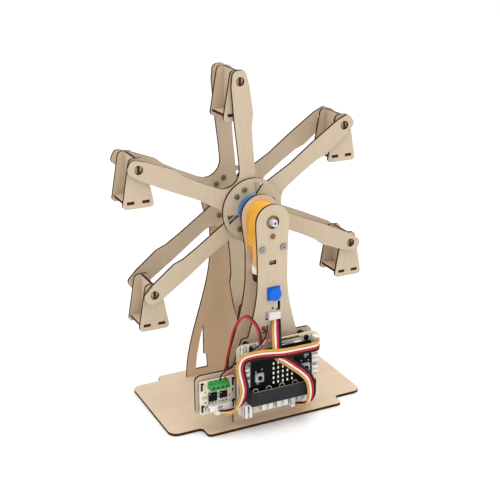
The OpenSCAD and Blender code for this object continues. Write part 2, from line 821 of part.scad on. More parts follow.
module gondola_sides(i) {
    color(wood) at_pivot(i) for (y = [gondola_y, gondola_y + ply + gondola_in])
        upright(y) difference() {
            polygon(side_path);
            for (s = [-1, 1]) opening(s * seat_pitch / 2, -seat_drop, seat_tab + 2 * tab_gap,
                ply + 2 * tab_gap);
            opening(0, 0, ply + 2 * tab_gap, hanger_tab + 2 * tab_gap);
        }
}

// The seat board lies across, and the hanger board stands on it and turns in the arms.
seat_half = 0.42 * side_bottom;
hanger_end = 0.3;
module gondola_seat(i) {
    color(wood) at_pivot(i) {
        translate([0, 0, -seat_drop - ply / 2]) linear_extrude(ply) union() {
            translate([-seat_half, gondola_y + ply]) square([2 * seat_half, gondola_in]);
            for (s = [-1, 1]) translate([s * seat_pitch / 2 - seat_tab / 2, gondola_y])
                square([seat_tab, gondola_d]);
        }
        box(-ply / 2, ply / 2, gondola_y + ply, gondola_y + gondola_d - ply,
            -seat_drop + ply / 2, side_up - hanger_end);
        box(-ply / 2, ply / 2, arm_y + hanger_end, rear_arm_y + ply - hanger_end,
            -hanger_tab / 2, hanger_tab / 2);
    }
}

/* Dial */
module dial_board() {
    color([0.9, 0.87, 0.76]) box(dial_x - dial_board_w / 2, dial_x + dial_board_w / 2,
        motor_y, motor_y + dial_board_t, dial_z - 0.7 * dial_board_h,
        dial_z + 0.3 * dial_board_h);
}

foot_y = front_y - dial_foot_out;
module dial_base() {
    color([0.12, 0.36, 0.7]) difference() {
        box(dial_x - dial_foot / 2, dial_x + dial_foot / 2, foot_y, motor_y,
            dial_z - dial_foot / 2, dial_z + dial_foot / 2);
        rod(knob_stem_r + run_fit, dial_x, foot_y - over, dial_z, ply + over);
    }
}

knob_gap = 0.3;
knob_slot = 1.1;
module dial_knob() {
    color([0.15, 0.45, 0.8]) difference() {
        union() {
            rod(knob_r, dial_x, foot_y - knob_gap - knob_t, dial_z, knob_t);
            rod(knob_stem_r, dial_x, foot_y - knob_gap - weld, dial_z, ply + knob_gap);
        }
        box(dial_x - knob_slot / 2, dial_x + knob_slot / 2, foot_y - knob_gap - knob_t - over,
            foot_y - knob_gap - knob_t / 2, dial_z - knob_r / 3, dial_z + knob_r + over);
    }
}

/* Breakout and controller */
breakout_y = front_y - spacer_l - pcb;
spacer_spots = [for (s = [-1, 1], t = [0, 1])
    [s * (t ? 0.343 : 0.31) * breakout_w, breakout_low + (t ? 0.936 : 0.073) * breakout_h]];

module breakout_board() {
    color([0.9, 0.87, 0.76]) difference() {
        upright(breakout_y, pcb) polygon(round_path([for (c = [[-1, 0], [1, 0], [1, 1], [-1, 1]])
            [c[0] * breakout_w / 2, breakout_low + c[1] * breakout_h, breakout_corner]]));
        for (p = spacer_spots)
            rod(board_screw_r + fix_fit, p[0], breakout_y - over, p[1], pcb + 2 * over);
    }
}

module board_spacers() {
    color([0.12, 0.12, 0.13]) for (p = spacer_spots) {
        rod(spacer_r, p[0], front_y - spacer_l, p[1], spacer_l);
        pan_head(bolt_head_r, p[0], breakout_y, p[1], 1);
        rod(board_screw_r, p[0], breakout_y - weld / 2, p[1], pcb + weld);
    }
}

edge_y = breakout_y - edge_d;
controller_y = breakout_y - 0.42 * edge_d - pcb;
controller_low = edge_low + edge_h - controller_seat;
module edge_connector() {
    color([0.24, 0.25, 0.27]) difference() {
        box(-edge_w / 2, edge_w / 2, edge_y, breakout_y, edge_low, edge_low + edge_h);
        box(-controller_w / 2 - 2 * fix_fit, controller_w / 2 + 2 * fix_fit,
            controller_y - 3 * fix_fit, controller_y + pcb + 3 * fix_fit,
            controller_low, edge_low + edge_h + over);
    }
}

pad_z = edge_low + 0.907 * edge_h;
button_z = controller_low + 0.49 * controller_h;
led_z = controller_low + 0.505 * controller_h;
led_x = 0.01 * controller_w;
pad_t = 0.12;
led_t = 0.5;
button_case = 2.4;
module controller_board() {
    color([0.05, 0.05, 0.06]) difference() {
        upright(controller_y, pcb) polygon(round_path([for (c = [[-1, 0], [1, 0], [1, 1], [-1, 1]])
            [c[0] * controller_w / 2, controller_low + c[1] * controller_h,
             c[1] * pad_hole_r]]));
        for (i = [-2:2]) rod(pad_hole_r, i * pad_pitch, controller_y - over, pad_z,
            pcb + 2 * over);
    }
}

module controller_leds() {
    color([0.95, 0.95, 0.92]) for (i = [-2:2], j = [-2:2])
        box(led_x + i * led_pitch - led_w / 2, led_x + i * led_pitch + led_w / 2,
            controller_y - led_t, controller_y, led_z + j * led_pitch - led_h / 2,
            led_z + j * led_pitch + led_h / 2);
}

module controller_pads() {
    color([0.85, 0.72, 0.35]) for (i = [-2:2]) difference() {
        rod(pad_r, i * pad_pitch, controller_y - pad_t, pad_z, pad_t);
        rod(pad_hole_r, i * pad_pitch, controller_y - over, pad_z, 2 * over);
    }
}

module button_cases() {
    color([0.7, 0.71, 0.73]) for (s = [-1, 1]) difference() {
        box(s * button_x - button_w / 2, s * button_x + button_w / 2,
            controller_y - button_case, controller_y, button_z - button_w / 2,
            button_z + button_w / 2);
        rod(button_r + run_fit, s * button_x, controller_y - button_case - over, button_z,
            button_case + over - gear_wall / 4);
    }
}

button_out = 1;
module push_button(s) {
    color([0.08, 0.08, 0.09]) rod(button_r, s * button_x,
        controller_y - button_case - button_out, button_z,
        button_case + button_out - gear_wall / 4 - button_travel - run_fit);
}

module button_a() { push_button(-1); }
module button_b() { push_button(1); }

/* White sockets on the boards, each [x, z, width, height] */
socket_d = 4.2;
socket_w = 11;
socket_h = 8;
breakout_top = breakout_low + breakout_h;
low_row_z = edge_low - 0.56 * socket_h;
sockets = [
    [-0.42 * breakout_w, breakout_top - 0.3 * socket_h, 0.48 * socket_w, 0.885 * socket_h],
    [-0.235 * breakout_w, breakout_top - 0.3 * socket_h, 0.55 * socket_w, 0.7 * socket_h],
    [-0.415 * breakout_w, edge_low + 2.15 * socket_h, 0.48 * socket_w, 0.94 * socket_h],
    [-0.415 * breakout_w, edge_low + 3.33 * socket_h, 0.48 * socket_w, 0.94 * socket_h],
    [-0.396 * breakout_w, breakout_low + 0.57 * socket_h, 0.64 * socket_w, 1.4 * socket_h],
    [-0.164 * breakout_w, low_row_z, socket_w, socket_h],
    [0.021 * breakout_w, low_row_z, socket_w, socket_h],
    [0.2 * breakout_w, low_row_z, 0.92 * socket_w, socket_h],
    [0.44 * breakout_w, breakout_top - 0.74 * socket_h, 0.55 * socket_w, 0.885 * socket_h],
    [0.43 * breakout_w, edge_low + 2.15 * socket_h, 0.48 * socket_w, 0.94 * socket_h],
    [0.43 * breakout_w, edge_low + 3.33 * socket_h, 0.48 * socket_w, 0.94 * socket_h]];
driver_y = front_y - driver_gap - pcb;
driver_socket_d = 4;
driver_socket_z = driver_low + 0.11 * driver_h;
module board_sockets() {
    color([0.93, 0.92, 0.88]) {
        for (p = sockets)
            box(p[0] - p[2] / 2, p[0] + p[2] / 2, breakout_y - socket_d, breakout_y,
                p[1] - p[3] / 2, p[1] + p[3] / 2);
        box(-driver_left + 0.19 * driver_w, -driver_left + 0.84 * driver_w,
            driver_y - driver_socket_d, driver_y, driver_socket_z,
            driver_socket_z + 0.165 * driver_h);
    }
}

/* Motor driver board on the side wing */
clip_w = 2.3;
clip_h = 7;
clip_in = 0.7;
clip_spots = [
    [-driver_left + clip_in + clip_w / 2, driver_low + 0.875 * driver_h],
    [-driver_left + clip_in + clip_w / 2, driver_low + 0.2 * driver_h],
    [-driver_left + driver_w - clip_in - clip_w / 2, driver_low + 0.875 * driver_h],
    [-driver_left + driver_w - clip_in - clip_w / 2, driver_low + 0.2 * driver_h]];

module clip(p, gap, y0, y1) {
    box(p[0] - clip_w / 2 - gap, p[0] + clip_w / 2 + gap, y0, y1,
        p[1] - clip_h / 2 - gap, p[1] + clip_h / 2 + gap);
}

module driver_board() {
    color([0.9, 0.87, 0.76]) difference() {
        box(-driver_left, -driver_left + driver_w, driver_y, driver_y + pcb,
            driver_low, driver_low + driver_h);
        for (p = clip_spots) clip(p, fix_fit, driver_y - over, driver_y + pcb + over);
    }
}

chips = [[0.353, 0.5, 0.24, 0.26], [0.66, 0.51, 0.215, 0.2], [0.93, 0.585, 0.028, 0.09]];
chip_t = 1;
module driver_chips() {
    color([0.06, 0.06, 0.07]) {
        for (p = clip_spots) {
            clip(p, 0, driver_y - chip_t, front_y);
            clip(p, chip_t / 2, driver_y + pcb, front_y);
        }
        for (c = chips) box(-driver_left + (c[0] - c[2] / 2) * driver_w,
            -driver_left + (c[0] + c[2] / 2) * driver_w, driver_y - chip_t, driver_y,
            driver_low + (c[1] - c[3] / 2) * driver_h, driver_low + (c[1] + c[3] / 2) * driver_h);
    }
}

terminal_x = -driver_left + driver_w / 2;
terminal_z = driver_low + driver_h - 1.07 * terminal_h;
terminal_hole_r = 1.3;
module terminal_block() {
    color([0.2, 0.62, 0.28]) difference() {
        union() {
            box(terminal_x - terminal_w / 2, terminal_x + terminal_w / 2,
                driver_y - terminal_d / 2, driver_y, terminal_z, terminal_z + terminal_h);
            box(terminal_x - terminal_w / 2, terminal_x + terminal_w / 2,
                driver_y - terminal_d, driver_y - terminal_d / 2 + over / 2, terminal_z,
                terminal_z + 0.7 * terminal_h);
        }
        for (i = [-1.5:1:1.5]) {
            translate([terminal_x + i * terminal_w / 4.2, driver_y - terminal_d / 4,
                terminal_z + terminal_h / 2])
                cylinder(r = terminal_hole_r, h = terminal_h, $fn = 16);
            rod(terminal_hole_r, terminal_x + i * terminal_w / 4.2, driver_y - terminal_d - over,
                terminal_z + terminal_h / 3, over + terminal_d / 4, $fn = 16);
        }
    }
}

/* Battery holder behind the front board */
battery_y = motor_mid - battery_d / 2;
module battery_box() {
    color([0.1, 0.1, 0.11]) difference() {
        box(-battery_w / 2, battery_w / 2, battery_y, battery_y + battery_d, ply,
            ply + battery_h);
        box(-battery_w / 2 + battery_wall, battery_w / 2 - battery_wall,
            battery_y + battery_wall, battery_y + battery_d + over, ply + battery_wall,
            ply + battery_h - battery_wall);
    }
}

module battery_cells() {
    color([0.3, 0.32, 0.36]) for (k = [0, 1])
        translate([-cell_l / 2, battery_y + battery_wall + cell_r,
            ply + battery_wall + cell_r + k * (battery_h - 2 * battery_wall - 2 * cell_r)])
            rotate([0, 90, 0]) cylinder(r = cell_r, h = cell_l);
}

/* Cables: each route point is [x, y, z], each side shows the way across a flat cable */
ribbon_w = 7.8;
ribbon_t = 1.9;
twin_w = 3.2;
lead_t = 1.6;
sensor_route = [[2, -48, 84.5], [2, -48.6, 81], [-0.7, -54, 76.5], [-3.2, -59.5, 73.5],
    [-5.4, -64.6, 68.6], [-4.6, -65.8, 62.1], [0.5, -66.3, 58.3], [7.4, -67, 52.4],
    [14.7, -67.6, 46.1], [20, -68.8, 39.7], [21.9, -70, 32.6], [22, -70, 25],
    [20.8, -68.3, 18.8], [18, -65.4, 15.2], [15.3, -62.4, 14.2], [12.7, -61, 14.2]];
sensor_sides = [[1, 0, 0], [1, 0, 0], [1, 0, 0], [1, 0, 0], [1, 0, 0], [0.9, 0, 0.4],
    [0.6, 0, 0.8], [0.65, 0, 0.75], [0.7, 0, 0.7], [0.85, 0, 0.5], [0.95, 0, 0.3], [1, 0.1, 0.1],
    [0.9, 0.4, 0], [0.5, 0.8, 0], [0.25, 1, 0], [0, 1, 0]];
driver_route = [[-50, -55.8, 19.7], [-47, -56.2, 19.3], [-43.3, -57.6, 19.3], [-39.8, -60, 21.3],
    [-36.6, -62.2, 25.9], [-34, -64, 32.4], [-33.5, -65.5, 40.3], [-35.3, -66.5, 48.4],
    [-37.1, -67.3, 55.2], [-37.6, -68, 62], [-35.2, -68.5, 66.8], [-29.3, -68.5, 68],
    [-20.1, -68.5, 67.8], [-12.6, -68.5, 66.8], [-4.1, -68.5, 65.5], [5, -68, 64.7],
    [12.8, -67.8, 64.5], [20, -67.8, 64.4], [26.5, -67.8, 64.5], [28.6, -67.3, 65.2],
    [30, -65.8, 65.8], [30.6, -64, 65.9]];
driver_sides = [[0, 1, 0], [0, 1, 0], [0.1, 1, 0], [0.3, 0.9, -0.2], [0.8, 0.5, -0.3],
    [1, 0.1, -0.1], [1, 0, 0], [1, 0, 0.1], [1, 0, 0], [0.95, 0, -0.3], [0.6, 0, -0.8],
    [0.2, 0, -1], [0, 0, -1], [0, 0, -1], [0, 0, -1], [0, 0, -1], [0, 0, -1], [0, 0, -1],
    [0, 0, -1], [0, 0, -1], [0, 0, -1], [0, 0, -1]];
battery_route = [[-16.5, -58.5, 72.6], [-16.5, -58.5, 76], [-18, -58.5, 83], [-21, -58, 89.5],
    [-26, -56, 95], [-31, -53.5, 93], [-35, -51, 84], [-37, -48.5, 71], [-38, -45, 58],
    [-36.5, -41, 47], [-33, -38, 34], [-30.5, -35.5, 23], [-28.5, -35, 19], [-26, -35, 19]];
battery_sides = [for (p = battery_route) [0.8, 0.5, 0]];
red_route = [[-4, -36, 112.6], [-4, -36, 106], [-5, -38.5, 91], [-6, -42, 79], [-6, -47, 76],
    [-7, -54, 76.5], [-10.5, -60, 75], [-17, -63.5, 71.5], [-25, -64, 68], [-31, -62.5, 62],
    [-37, -58, 54.5], [-41.8, -53.8, 50], [-43.2, -51.8, 47.2], [-43.3, -51.5, 43.6]];
black_route = [[-8, -36, 112.6], [-8, -36, 106], [-8.5, -38.5, 91], [-8.5, -42, 79.5],
    [-8.5, -47, 77.5], [-9.5, -54, 79], [-13, -60.5, 78], [-19, -63.5, 74], [-26, -63.5, 70.5],
    [-32, -61.5, 65], [-39, -57, 58], [-45, -53.3, 51.8], [-47, -51.8, 47.8],
    [-47.1, -51.5, 43.6]];
red_sides = [for (p = red_route) [0.4, 0.9, 0.1]];
black_sides = [for (p = black_route) [0.4, 0.9, 0.1]];

function tangent(r, i) = unit(r[min(i + 1, len(r) - 1)] - r[max(i - 1, 0)]);
function across(s, t) = unit(s - (s * t) * t);
flat_ring = [[-1, -0.5], [-0.8, -1], [0.8, -1], [1, -0.5], [1, 0.5], [0.8, 1], [-0.8, 1],
    [-1, 0.5]];
function ring_points(r, sides, i, w, t) =
    let (d = tangent(r, i), s = across(sides[i], d), n = cross(d, s))
    [for (q = flat_ring) r[i] + s * q[0] * w / 2 + n * q[1] * t / 2];

module cable(r, sides, w, t) {
    n = len(flat_ring);
    rings = len(r);
    polyhedron(
        points = [for (i = [0:rings - 1]) each ring_points(r, sides, i, w, t)],
        faces = concat([[for (k = [0:n - 1]) k]],
            [for (i = [0:rings - 2], k = [0:n - 1])
                let (a = i * n + k, b = i * n + (k + 1) % n) [a, a + n, b]],
            [for (i = [0:rings - 2], k = [0:n - 1])
                let (a = i * n + k, b = i * n + (k + 1) % n) [b, a + n, b + n]],
            [[for (k = [n - 1:-1:0]) (rings - 1) * n + k]]),
        convexity = 8);
}

module sensor_cable() {
    color([0.85, 0.68, 0.25]) cable(sensor_route, sensor_sides, ribbon_w, ribbon_t);
}

module driver_cable() {
    color([0.85, 0.68, 0.25]) cable(driver_route, driver_sides, ribbon_w, ribbon_t);
}

module battery_lead() {
    color([0.8, 0.15, 0.12]) cable(battery_route, battery_sides, twin_w, lead_t);
}

module motor_lead_red() {
    color([0.8, 0.15, 0.12]) cable(red_route, red_sides, lead_t, lead_t);
}

module motor_lead_black() {
    color([0.06, 0.06, 0.07]) cable(black_route, black_sides, lead_t, lead_t);
}

// Plugs where the cables end: in the dial window, under the lower sockets and beside the
// upper right one.
plug_w = 9.6;
plug_out = 2.5;
dial_plug_h = plug_window_h - 4 * tab_gap;
low_socket = sockets[7];
right_socket = sockets[8];
side_plug_w = 4.4;
module cable_plugs() {
    color([0.93, 0.92, 0.88]) {
        box(dial_x - plug_w / 2, dial_x + plug_w / 2, front_y - plug_out, motor_y,
            plug_z - dial_plug_h / 2, plug_z + dial_plug_h / 2);
        box(low_socket[0] - low_socket[2] / 2, low_socket[0] - low_socket[2] / 5,
            breakout_y - socket_d - plug_out / 2, breakout_y - socket_d / 4,
            low_socket[1] - low_socket[3] / 2 - plug_out, low_socket[1] - low_socket[3] / 2);
        box(-driver_left + 0.345 * driver_w, -driver_left + 0.455 * driver_w,
            driver_y - driver_socket_d - 1.2 * plug_out, driver_y - over / 2,
            driver_socket_z - 0.85 * plug_out, driver_socket_z);
        box(right_socket[0] - side_plug_w / 2, right_socket[0] + side_plug_w / 2,
            breakout_y - socket_d - plug_out - 3 * tab_gap, breakout_y - socket_d,
            right_socket[1] - ribbon_w / 2, right_socket[1] + ribbon_w / 2);
    }
}

base_plate();
front_plate();
inner_plate();
rear_plate();
gearbox_front();
gearbox_rear();
motor_can();
motor_strap();
motor_screws();
motor_nuts();
driver_board();
driver_chips();
terminal_block();
dial_board();
dial_base();
breakout_board();
board_spacers();
edge_connector();
board_sockets();
controller_board();
controller_leds();
controller_pads();
button_cases();
battery_box();
battery_cells();
sensor_cable();
driver_cable();
battery_lead();
motor_lead_red();
motor_lead_black();
cable_plugs();
rear_bush();
dial_knob();
button_a();
button_b();
output_shaft();
drive_hub();
disc_board(disc_y, true);  // front_disc
disc_board(rear_disc_y, false);  // rear_disc
wheel_screws();
wheel_nuts();
rear_axle();
arm_board(wheel_turn, arm_y);  // front_arm_pair_1
arm_board(wheel_turn + 120, arm_y);  // front_arm_pair_2
arm_board(wheel_turn + 240, arm_y);  // front_arm_pair_3
arm_board(wheel_turn, rear_arm_y);  // rear_arm_pair_1
arm_board(wheel_turn + 120, rear_arm_y);  // rear_arm_pair_2
arm_board(wheel_turn + 240, rear_arm_y);  // rear_arm_pair_3
gondola_sides(0);  // gondola_1_sides
gondola_seat(0);  // gondola_1_seat
gondola_sides(1);  // gondola_2_sides
gondola_seat(1);  // gondola_2_seat
gondola_sides(2);  // gondola_3_sides
gondola_seat(2);  // gondola_3_seat
gondola_sides(3);  // gondola_4_sides
gondola_seat(3);  // gondola_4_seat
gondola_sides(4);  // gondola_5_sides
gondola_seat(4);  // gondola_5_seat
gondola_sides(5);  // gondola_6_sides
gondola_seat(5);  // gondola_6_seat
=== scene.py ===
import json
import math

import bpy
import bmesh
from mathutils import Matrix, Vector


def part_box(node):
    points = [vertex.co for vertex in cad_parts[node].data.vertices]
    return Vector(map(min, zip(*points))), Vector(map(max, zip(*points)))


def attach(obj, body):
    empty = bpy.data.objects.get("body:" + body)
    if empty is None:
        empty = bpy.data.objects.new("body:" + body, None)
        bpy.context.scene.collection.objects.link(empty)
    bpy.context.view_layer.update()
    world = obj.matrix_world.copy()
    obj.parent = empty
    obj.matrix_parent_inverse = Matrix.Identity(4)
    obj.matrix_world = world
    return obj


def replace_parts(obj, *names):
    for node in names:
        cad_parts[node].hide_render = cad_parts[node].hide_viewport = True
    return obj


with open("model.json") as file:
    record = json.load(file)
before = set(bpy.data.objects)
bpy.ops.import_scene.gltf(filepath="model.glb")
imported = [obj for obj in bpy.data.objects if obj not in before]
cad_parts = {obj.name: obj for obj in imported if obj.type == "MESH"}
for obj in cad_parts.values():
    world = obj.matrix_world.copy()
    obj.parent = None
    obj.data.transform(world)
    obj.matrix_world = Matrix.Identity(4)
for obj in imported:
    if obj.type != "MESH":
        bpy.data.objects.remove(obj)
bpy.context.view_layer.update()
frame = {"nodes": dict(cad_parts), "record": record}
scene = bpy.context.scene
MM = 0.001


# ---------------------------------------------------------------- camera
EYE = Vector((-0.33192, -0.69605, 0.40638))
AHEAD = Vector((0.40783, 0.84665, -0.34186))
RIGHT = Vector((0.90092, -0.43397, 0))
UP = Vector((0.14836, 0.30799, 0.93976))
ROLL = math.radians(-0.33)
LENS, SENSOR_WIDTH = 74.33, 36


def place_camera():
    """The photograph's camera, as it was fitted to the edges and pivots of the part."""
    cam = bpy.data.cameras.new("camera")
    obj = bpy.data.objects.new("camera", cam)
    scene.collection.objects.link(obj)
    x = RIGHT * math.cos(ROLL) + UP * math.sin(ROLL)
    y = -RIGHT * math.sin(ROLL) + UP * math.cos(ROLL)
    turn = Matrix((x, y, -AHEAD)).transposed().to_4x4()
    turn.translation = EYE
    obj.matrix_world = turn
    cam.lens = LENS
    cam.sensor_width = SENSOR_WIDTH
    cam.sensor_fit = "HORIZONTAL"
    cam.clip_start = 0.01
    cam.clip_end = 20
    scene.camera = obj


place_camera()


# ---------------------------------------------------------------- materials
def rgb(r, g, b):
    """Linear colour from 0 to 255 display values."""
    out = []
    for c in (r, g, b):
        c /= 255
        out.append(c / 12.92 if c <= 0.04045 else ((c + 0.055) / 1.055) ** 2.4)
    return (*out, 1)


class Look:
    """One material, built node by node round a Principled shader."""

    def __init__(self, name, rough=0.5, metal=0.0, spec=0.5):
        self.m = bpy.data.materials.new(name)
        self.m.use_nodes = True
        self.t = self.m.node_tree
        self.b = self.t.nodes["Principled BSDF"]
        self.b.inputs["Roughness"].default_value = rough
        self.b.inputs["Metallic"].default_value = metal
        self.b.inputs["Specular IOR Level"].default_value = spec
        self.co = self.t.nodes.new("ShaderNodeTexCoord")

    def put(self, a, b):
        """Feeds input b with a number, a colour or another node's output."""
        if isinstance(a, (int, float, tuple)):
            b.default_value = a
        else:
            self.t.links.new(a, b)

    def noise(self, scale, stretch=(1, 1, 1), detail=4, rough=0.55, offset=(0, 0, 0)):
        """Noise in the piece's own space, so that it rides with the piece."""
        mp = self.t.nodes.new("ShaderNodeMapping")
        mp.inputs["Scale"].default_value = stretch
        mp.inputs["Location"].default_value = offset
        self.t.links.new(self.co.outputs["Object"], mp.inputs["Vector"])
        n = self.t.nodes.new("ShaderNodeTexNoise")
        n.inputs["Scale"].default_value = scale
        n.inputs["Detail"].default_value = detail
        n.inputs["Roughness"].default_value = rough
        self.t.links.new(mp.outputs["Vector"], n.inputs["Vector"])
        return n.outputs["Fac"]

    def ramp(self, fac, stops):
        """Stops are (place, colour or grey level) pairs."""
        n = self.t.nodes.new("ShaderNodeValToRGB")
        e = n.color_ramp.elements
        while len(e) < len(stops):
            e.new(0.5)
        for k, (p, c) in enumerate(stops):
            e[k].position = p
            e[k].color = c if isinstance(c, tuple) else (c, c, c, 1)
        self.put(fac, n.inputs["Fac"])
        return n.outputs["Color"]

    def math(self, op, a, b=0.0):
        n = self.t.nodes.new("ShaderNodeMath")
        n.operation = op
        self.put(a, n.inputs[0])
        self.put(b, n.inputs[1])
        return n.outputs[0]

    def mix(self, fac, a, b):
        n = self.t.nodes.new("ShaderNodeMix")
        n.data_type = "RGBA"
        self.put(fac, n.inputs[0])
        self.put(a, n.inputs[6])
        self.put(b, n.inputs[7])
        return n.outputs[2]

    def part(self, which, axis):
        """One axis of the texture coordinate called Object or Normal."""
        n = self.t.nodes.new("ShaderNodeSeparateXYZ")
        self.t.links.new(self.co.outputs[which], n.inputs[0])
        return n.outputs[axis]

    def colour(self, a):
        self.put(a, self.b.inputs["Base Color"])
        return self

    def rough(self, a):
        self.put(a, self.b.inputs["Roughness"])
        return self

    def bump(self, height, strength=0.3, distance=0.0002):
        n = self.t.nodes.new("ShaderNodeBump")
        n.inputs["Strength"].default_value = strength
        n.inputs["Distance"].default_value = distance
        self.put(height, n.inputs["Height"])
        self.t.links.new(n.outputs["Normal"], self.b.inputs["Normal"])
        return self


PLY_WAVE = 8568  # three plies in 2.2 mm, in radians a metre
EDGE_FACING = 0.7  # a face turned further than this from the board's own is a cut edge
PIVOT_LIGHT_RADIUS = 0.0037  # radius of the painted light round a gondola's pivot: pale wood where the arm's hole is in shade
SIDE_UP = 0.008  # from a gondola's pivot to the top of its sides
SEAT_TOP = 0.0026  # from the lowest point of a seat piece to its hanger board
WOOD = [rgb(190, 171, 146), rgb(196, 178, 154), rgb(202, 185, 162)]
BURNT = [rgb(40, 22, 11), rgb(66, 39, 22), rgb(94, 60, 36)]


def plywood(name, face, grain, offset=(0, 0, 0), split=None, pivot=None, painted_light=(1, 1, 1)):
    """Birch plywood: pale faces with grain, and laser burnt edges on every other side.
    face and grain are axes 0, 1, 2. split = (height, face above it) for a two board piece.
    The wood round pivot = (x, z, y, half width) is painted light outside that width: a pale
    colour that stands in for light where it shows in the shade of an arm's hole. The last argument
    brightens the red, green and blue of the faces, as painted light."""
    k = Look(name, rough=0.62, spec=0.3)
    # the brightening factors are painted light, scaling the wood's colour
    pale = [(*(c * t for c, t in zip(w, painted_light)), 1) for w in WOOD]
    long = [1, 1, 1]
    long[grain] = 0.07
    fine = k.noise(900, tuple(long), 6, 0.62, offset)
    broad = k.noise(60, tuple(long), 3, 0.5, offset)
    fleck = k.noise(2600, tuple(0.18 if v < 1 else 1 for v in long), 2, 0.5, offset)
    wood = k.ramp(k.math("ADD", k.math("MULTIPLY", fine, 0.6), k.math("MULTIPLY", broad, 0.4)),
                  [(0.3, pale[0]), (0.5, pale[1]), (0.7, pale[2])])
    wood = k.mix(k.ramp(fleck, [(0.66, 0.0), (0.76, 0.09)]), wood, rgb(160, 136, 106))
    plies = k.math("SINE", k.math("MULTIPLY", k.part("Object", face), PLY_WAVE))
    scorch = k.math("ADD", k.noise(700, (1, 1, 1), 5, 0.6, offset),
                    k.math("MULTIPLY", plies, 0.06))
    burnt = k.ramp(scorch, [(0.32, BURNT[0]), (0.52, BURNT[1]), (0.72, BURNT[2])])
    facing = k.math("ABSOLUTE", k.part("Normal", face))
    if split:
        upper = k.math("GREATER_THAN", k.part("Object", 2), split[0])
        other = k.math("ABSOLUTE", k.part("Normal", split[1]))
        facing = k.math("ADD", k.math("MULTIPLY", upper, other),
                        k.math("MULTIPLY", k.math("SUBTRACT", 1.0, upper), facing))
    # painted light: pale wood on the outer faces round a gondola's pivot, where the arm's hole is in shade
    if pivot:
        aside = k.math("POWER", k.math("SUBTRACT", k.part("Object", 0), pivot[0]), 2.0)
        above = k.math("POWER", k.math("SUBTRACT", k.part("Object", 2), pivot[1]), 2.0)
        near = k.math("LESS_THAN", k.math("ADD", aside, above), PIVOT_LIGHT_RADIUS ** 2)
        out = k.math("ABSOLUTE", k.math("SUBTRACT", k.part("Object", 1), pivot[2]))
        out = k.math("GREATER_THAN", out, pivot[3] - 0.0001)
        wood = k.mix(k.math("MULTIPLY", near, out), wood, rgb(250, 236, 214))
    edge = k.math("LESS_THAN", facing, EDGE_FACING)
    k.colour(k.mix(edge, wood, burnt))
    gloss = k.math("SUBTRACT", 0.3, k.math("MULTIPLY", edge, 0.28))
    k.put(gloss, k.b.inputs["Specular IOR Level"])
    k.rough(k.math("ADD", k.math("MULTIPLY", fine, 0.25), 0.5))
    k.bump(k.math("ADD", fine, k.math("MULTIPLY", fleck, 0.5)), 0.25, 0.0002)
    return k.m


def plastic(name, light, dark, rough=0.38, spec=0.5):
    """Moulded plastic with a soft change of shade and a fine grain."""
    k = Look(name, rough, spec=spec)
    soft = k.noise(90, detail=3)
    fine = k.noise(1500, detail=3)
    k.colour(k.ramp(soft, [(0.3, dark), (0.7, light)]))
    k.rough(k.math("ADD", k.math("MULTIPLY", fine, 0.16), rough - 0.08))
    return k.bump(fine, 0.12, 0.0001).m


def metal(name, light, dark, rough=0.3, brush=(1, 1, 1)):
    """Metal with fine marks, which brush stretches along one axis."""
    k = Look(name, rough, metal=1.0)
    fine = k.noise(1600, brush, 4)
    k.colour(k.ramp(fine, [(0.3, dark), (0.7, light)]))
    k.rough(k.math("ADD", k.math("MULTIPLY", fine, 0.25), rough - 0.1))
    return k.bump(fine, 0.12, 0.00005).m


def board_mat(name, base, shade, trace, rough=0.35, spec=0.5):
    """Circuit board: smooth mask with faint lines of copper under it."""
    k = Look(name, rough, spec=spec)
    wide = k.noise(120, (1, 1, 1), 2)
    lines = k.noise(330, (1, 1, 0.12), 1)
    cross = k.noise(330, (0.12, 1, 1), 1, offset=(0.3, 0, 0))
    both = k.math("MAXIMUM", k.ramp(lines, [(0.56, 0.0), (0.58, 1.0)]),
                  k.ramp(cross, [(0.6, 0.0), (0.62, 1.0)]))
    col = k.ramp(wide, [(0.3, shade), (0.7, base)])
    k.colour(k.mix(k.math("MULTIPLY", both, 0.35), col, trace))
    edge = k.noise(1400, (1, 1, 1), 2)
    k.rough(k.math("ADD", k.math("MULTIPLY", edge, 0.12), rough - 0.06))
    return k.bump(both, 0.1, 0.00004).m


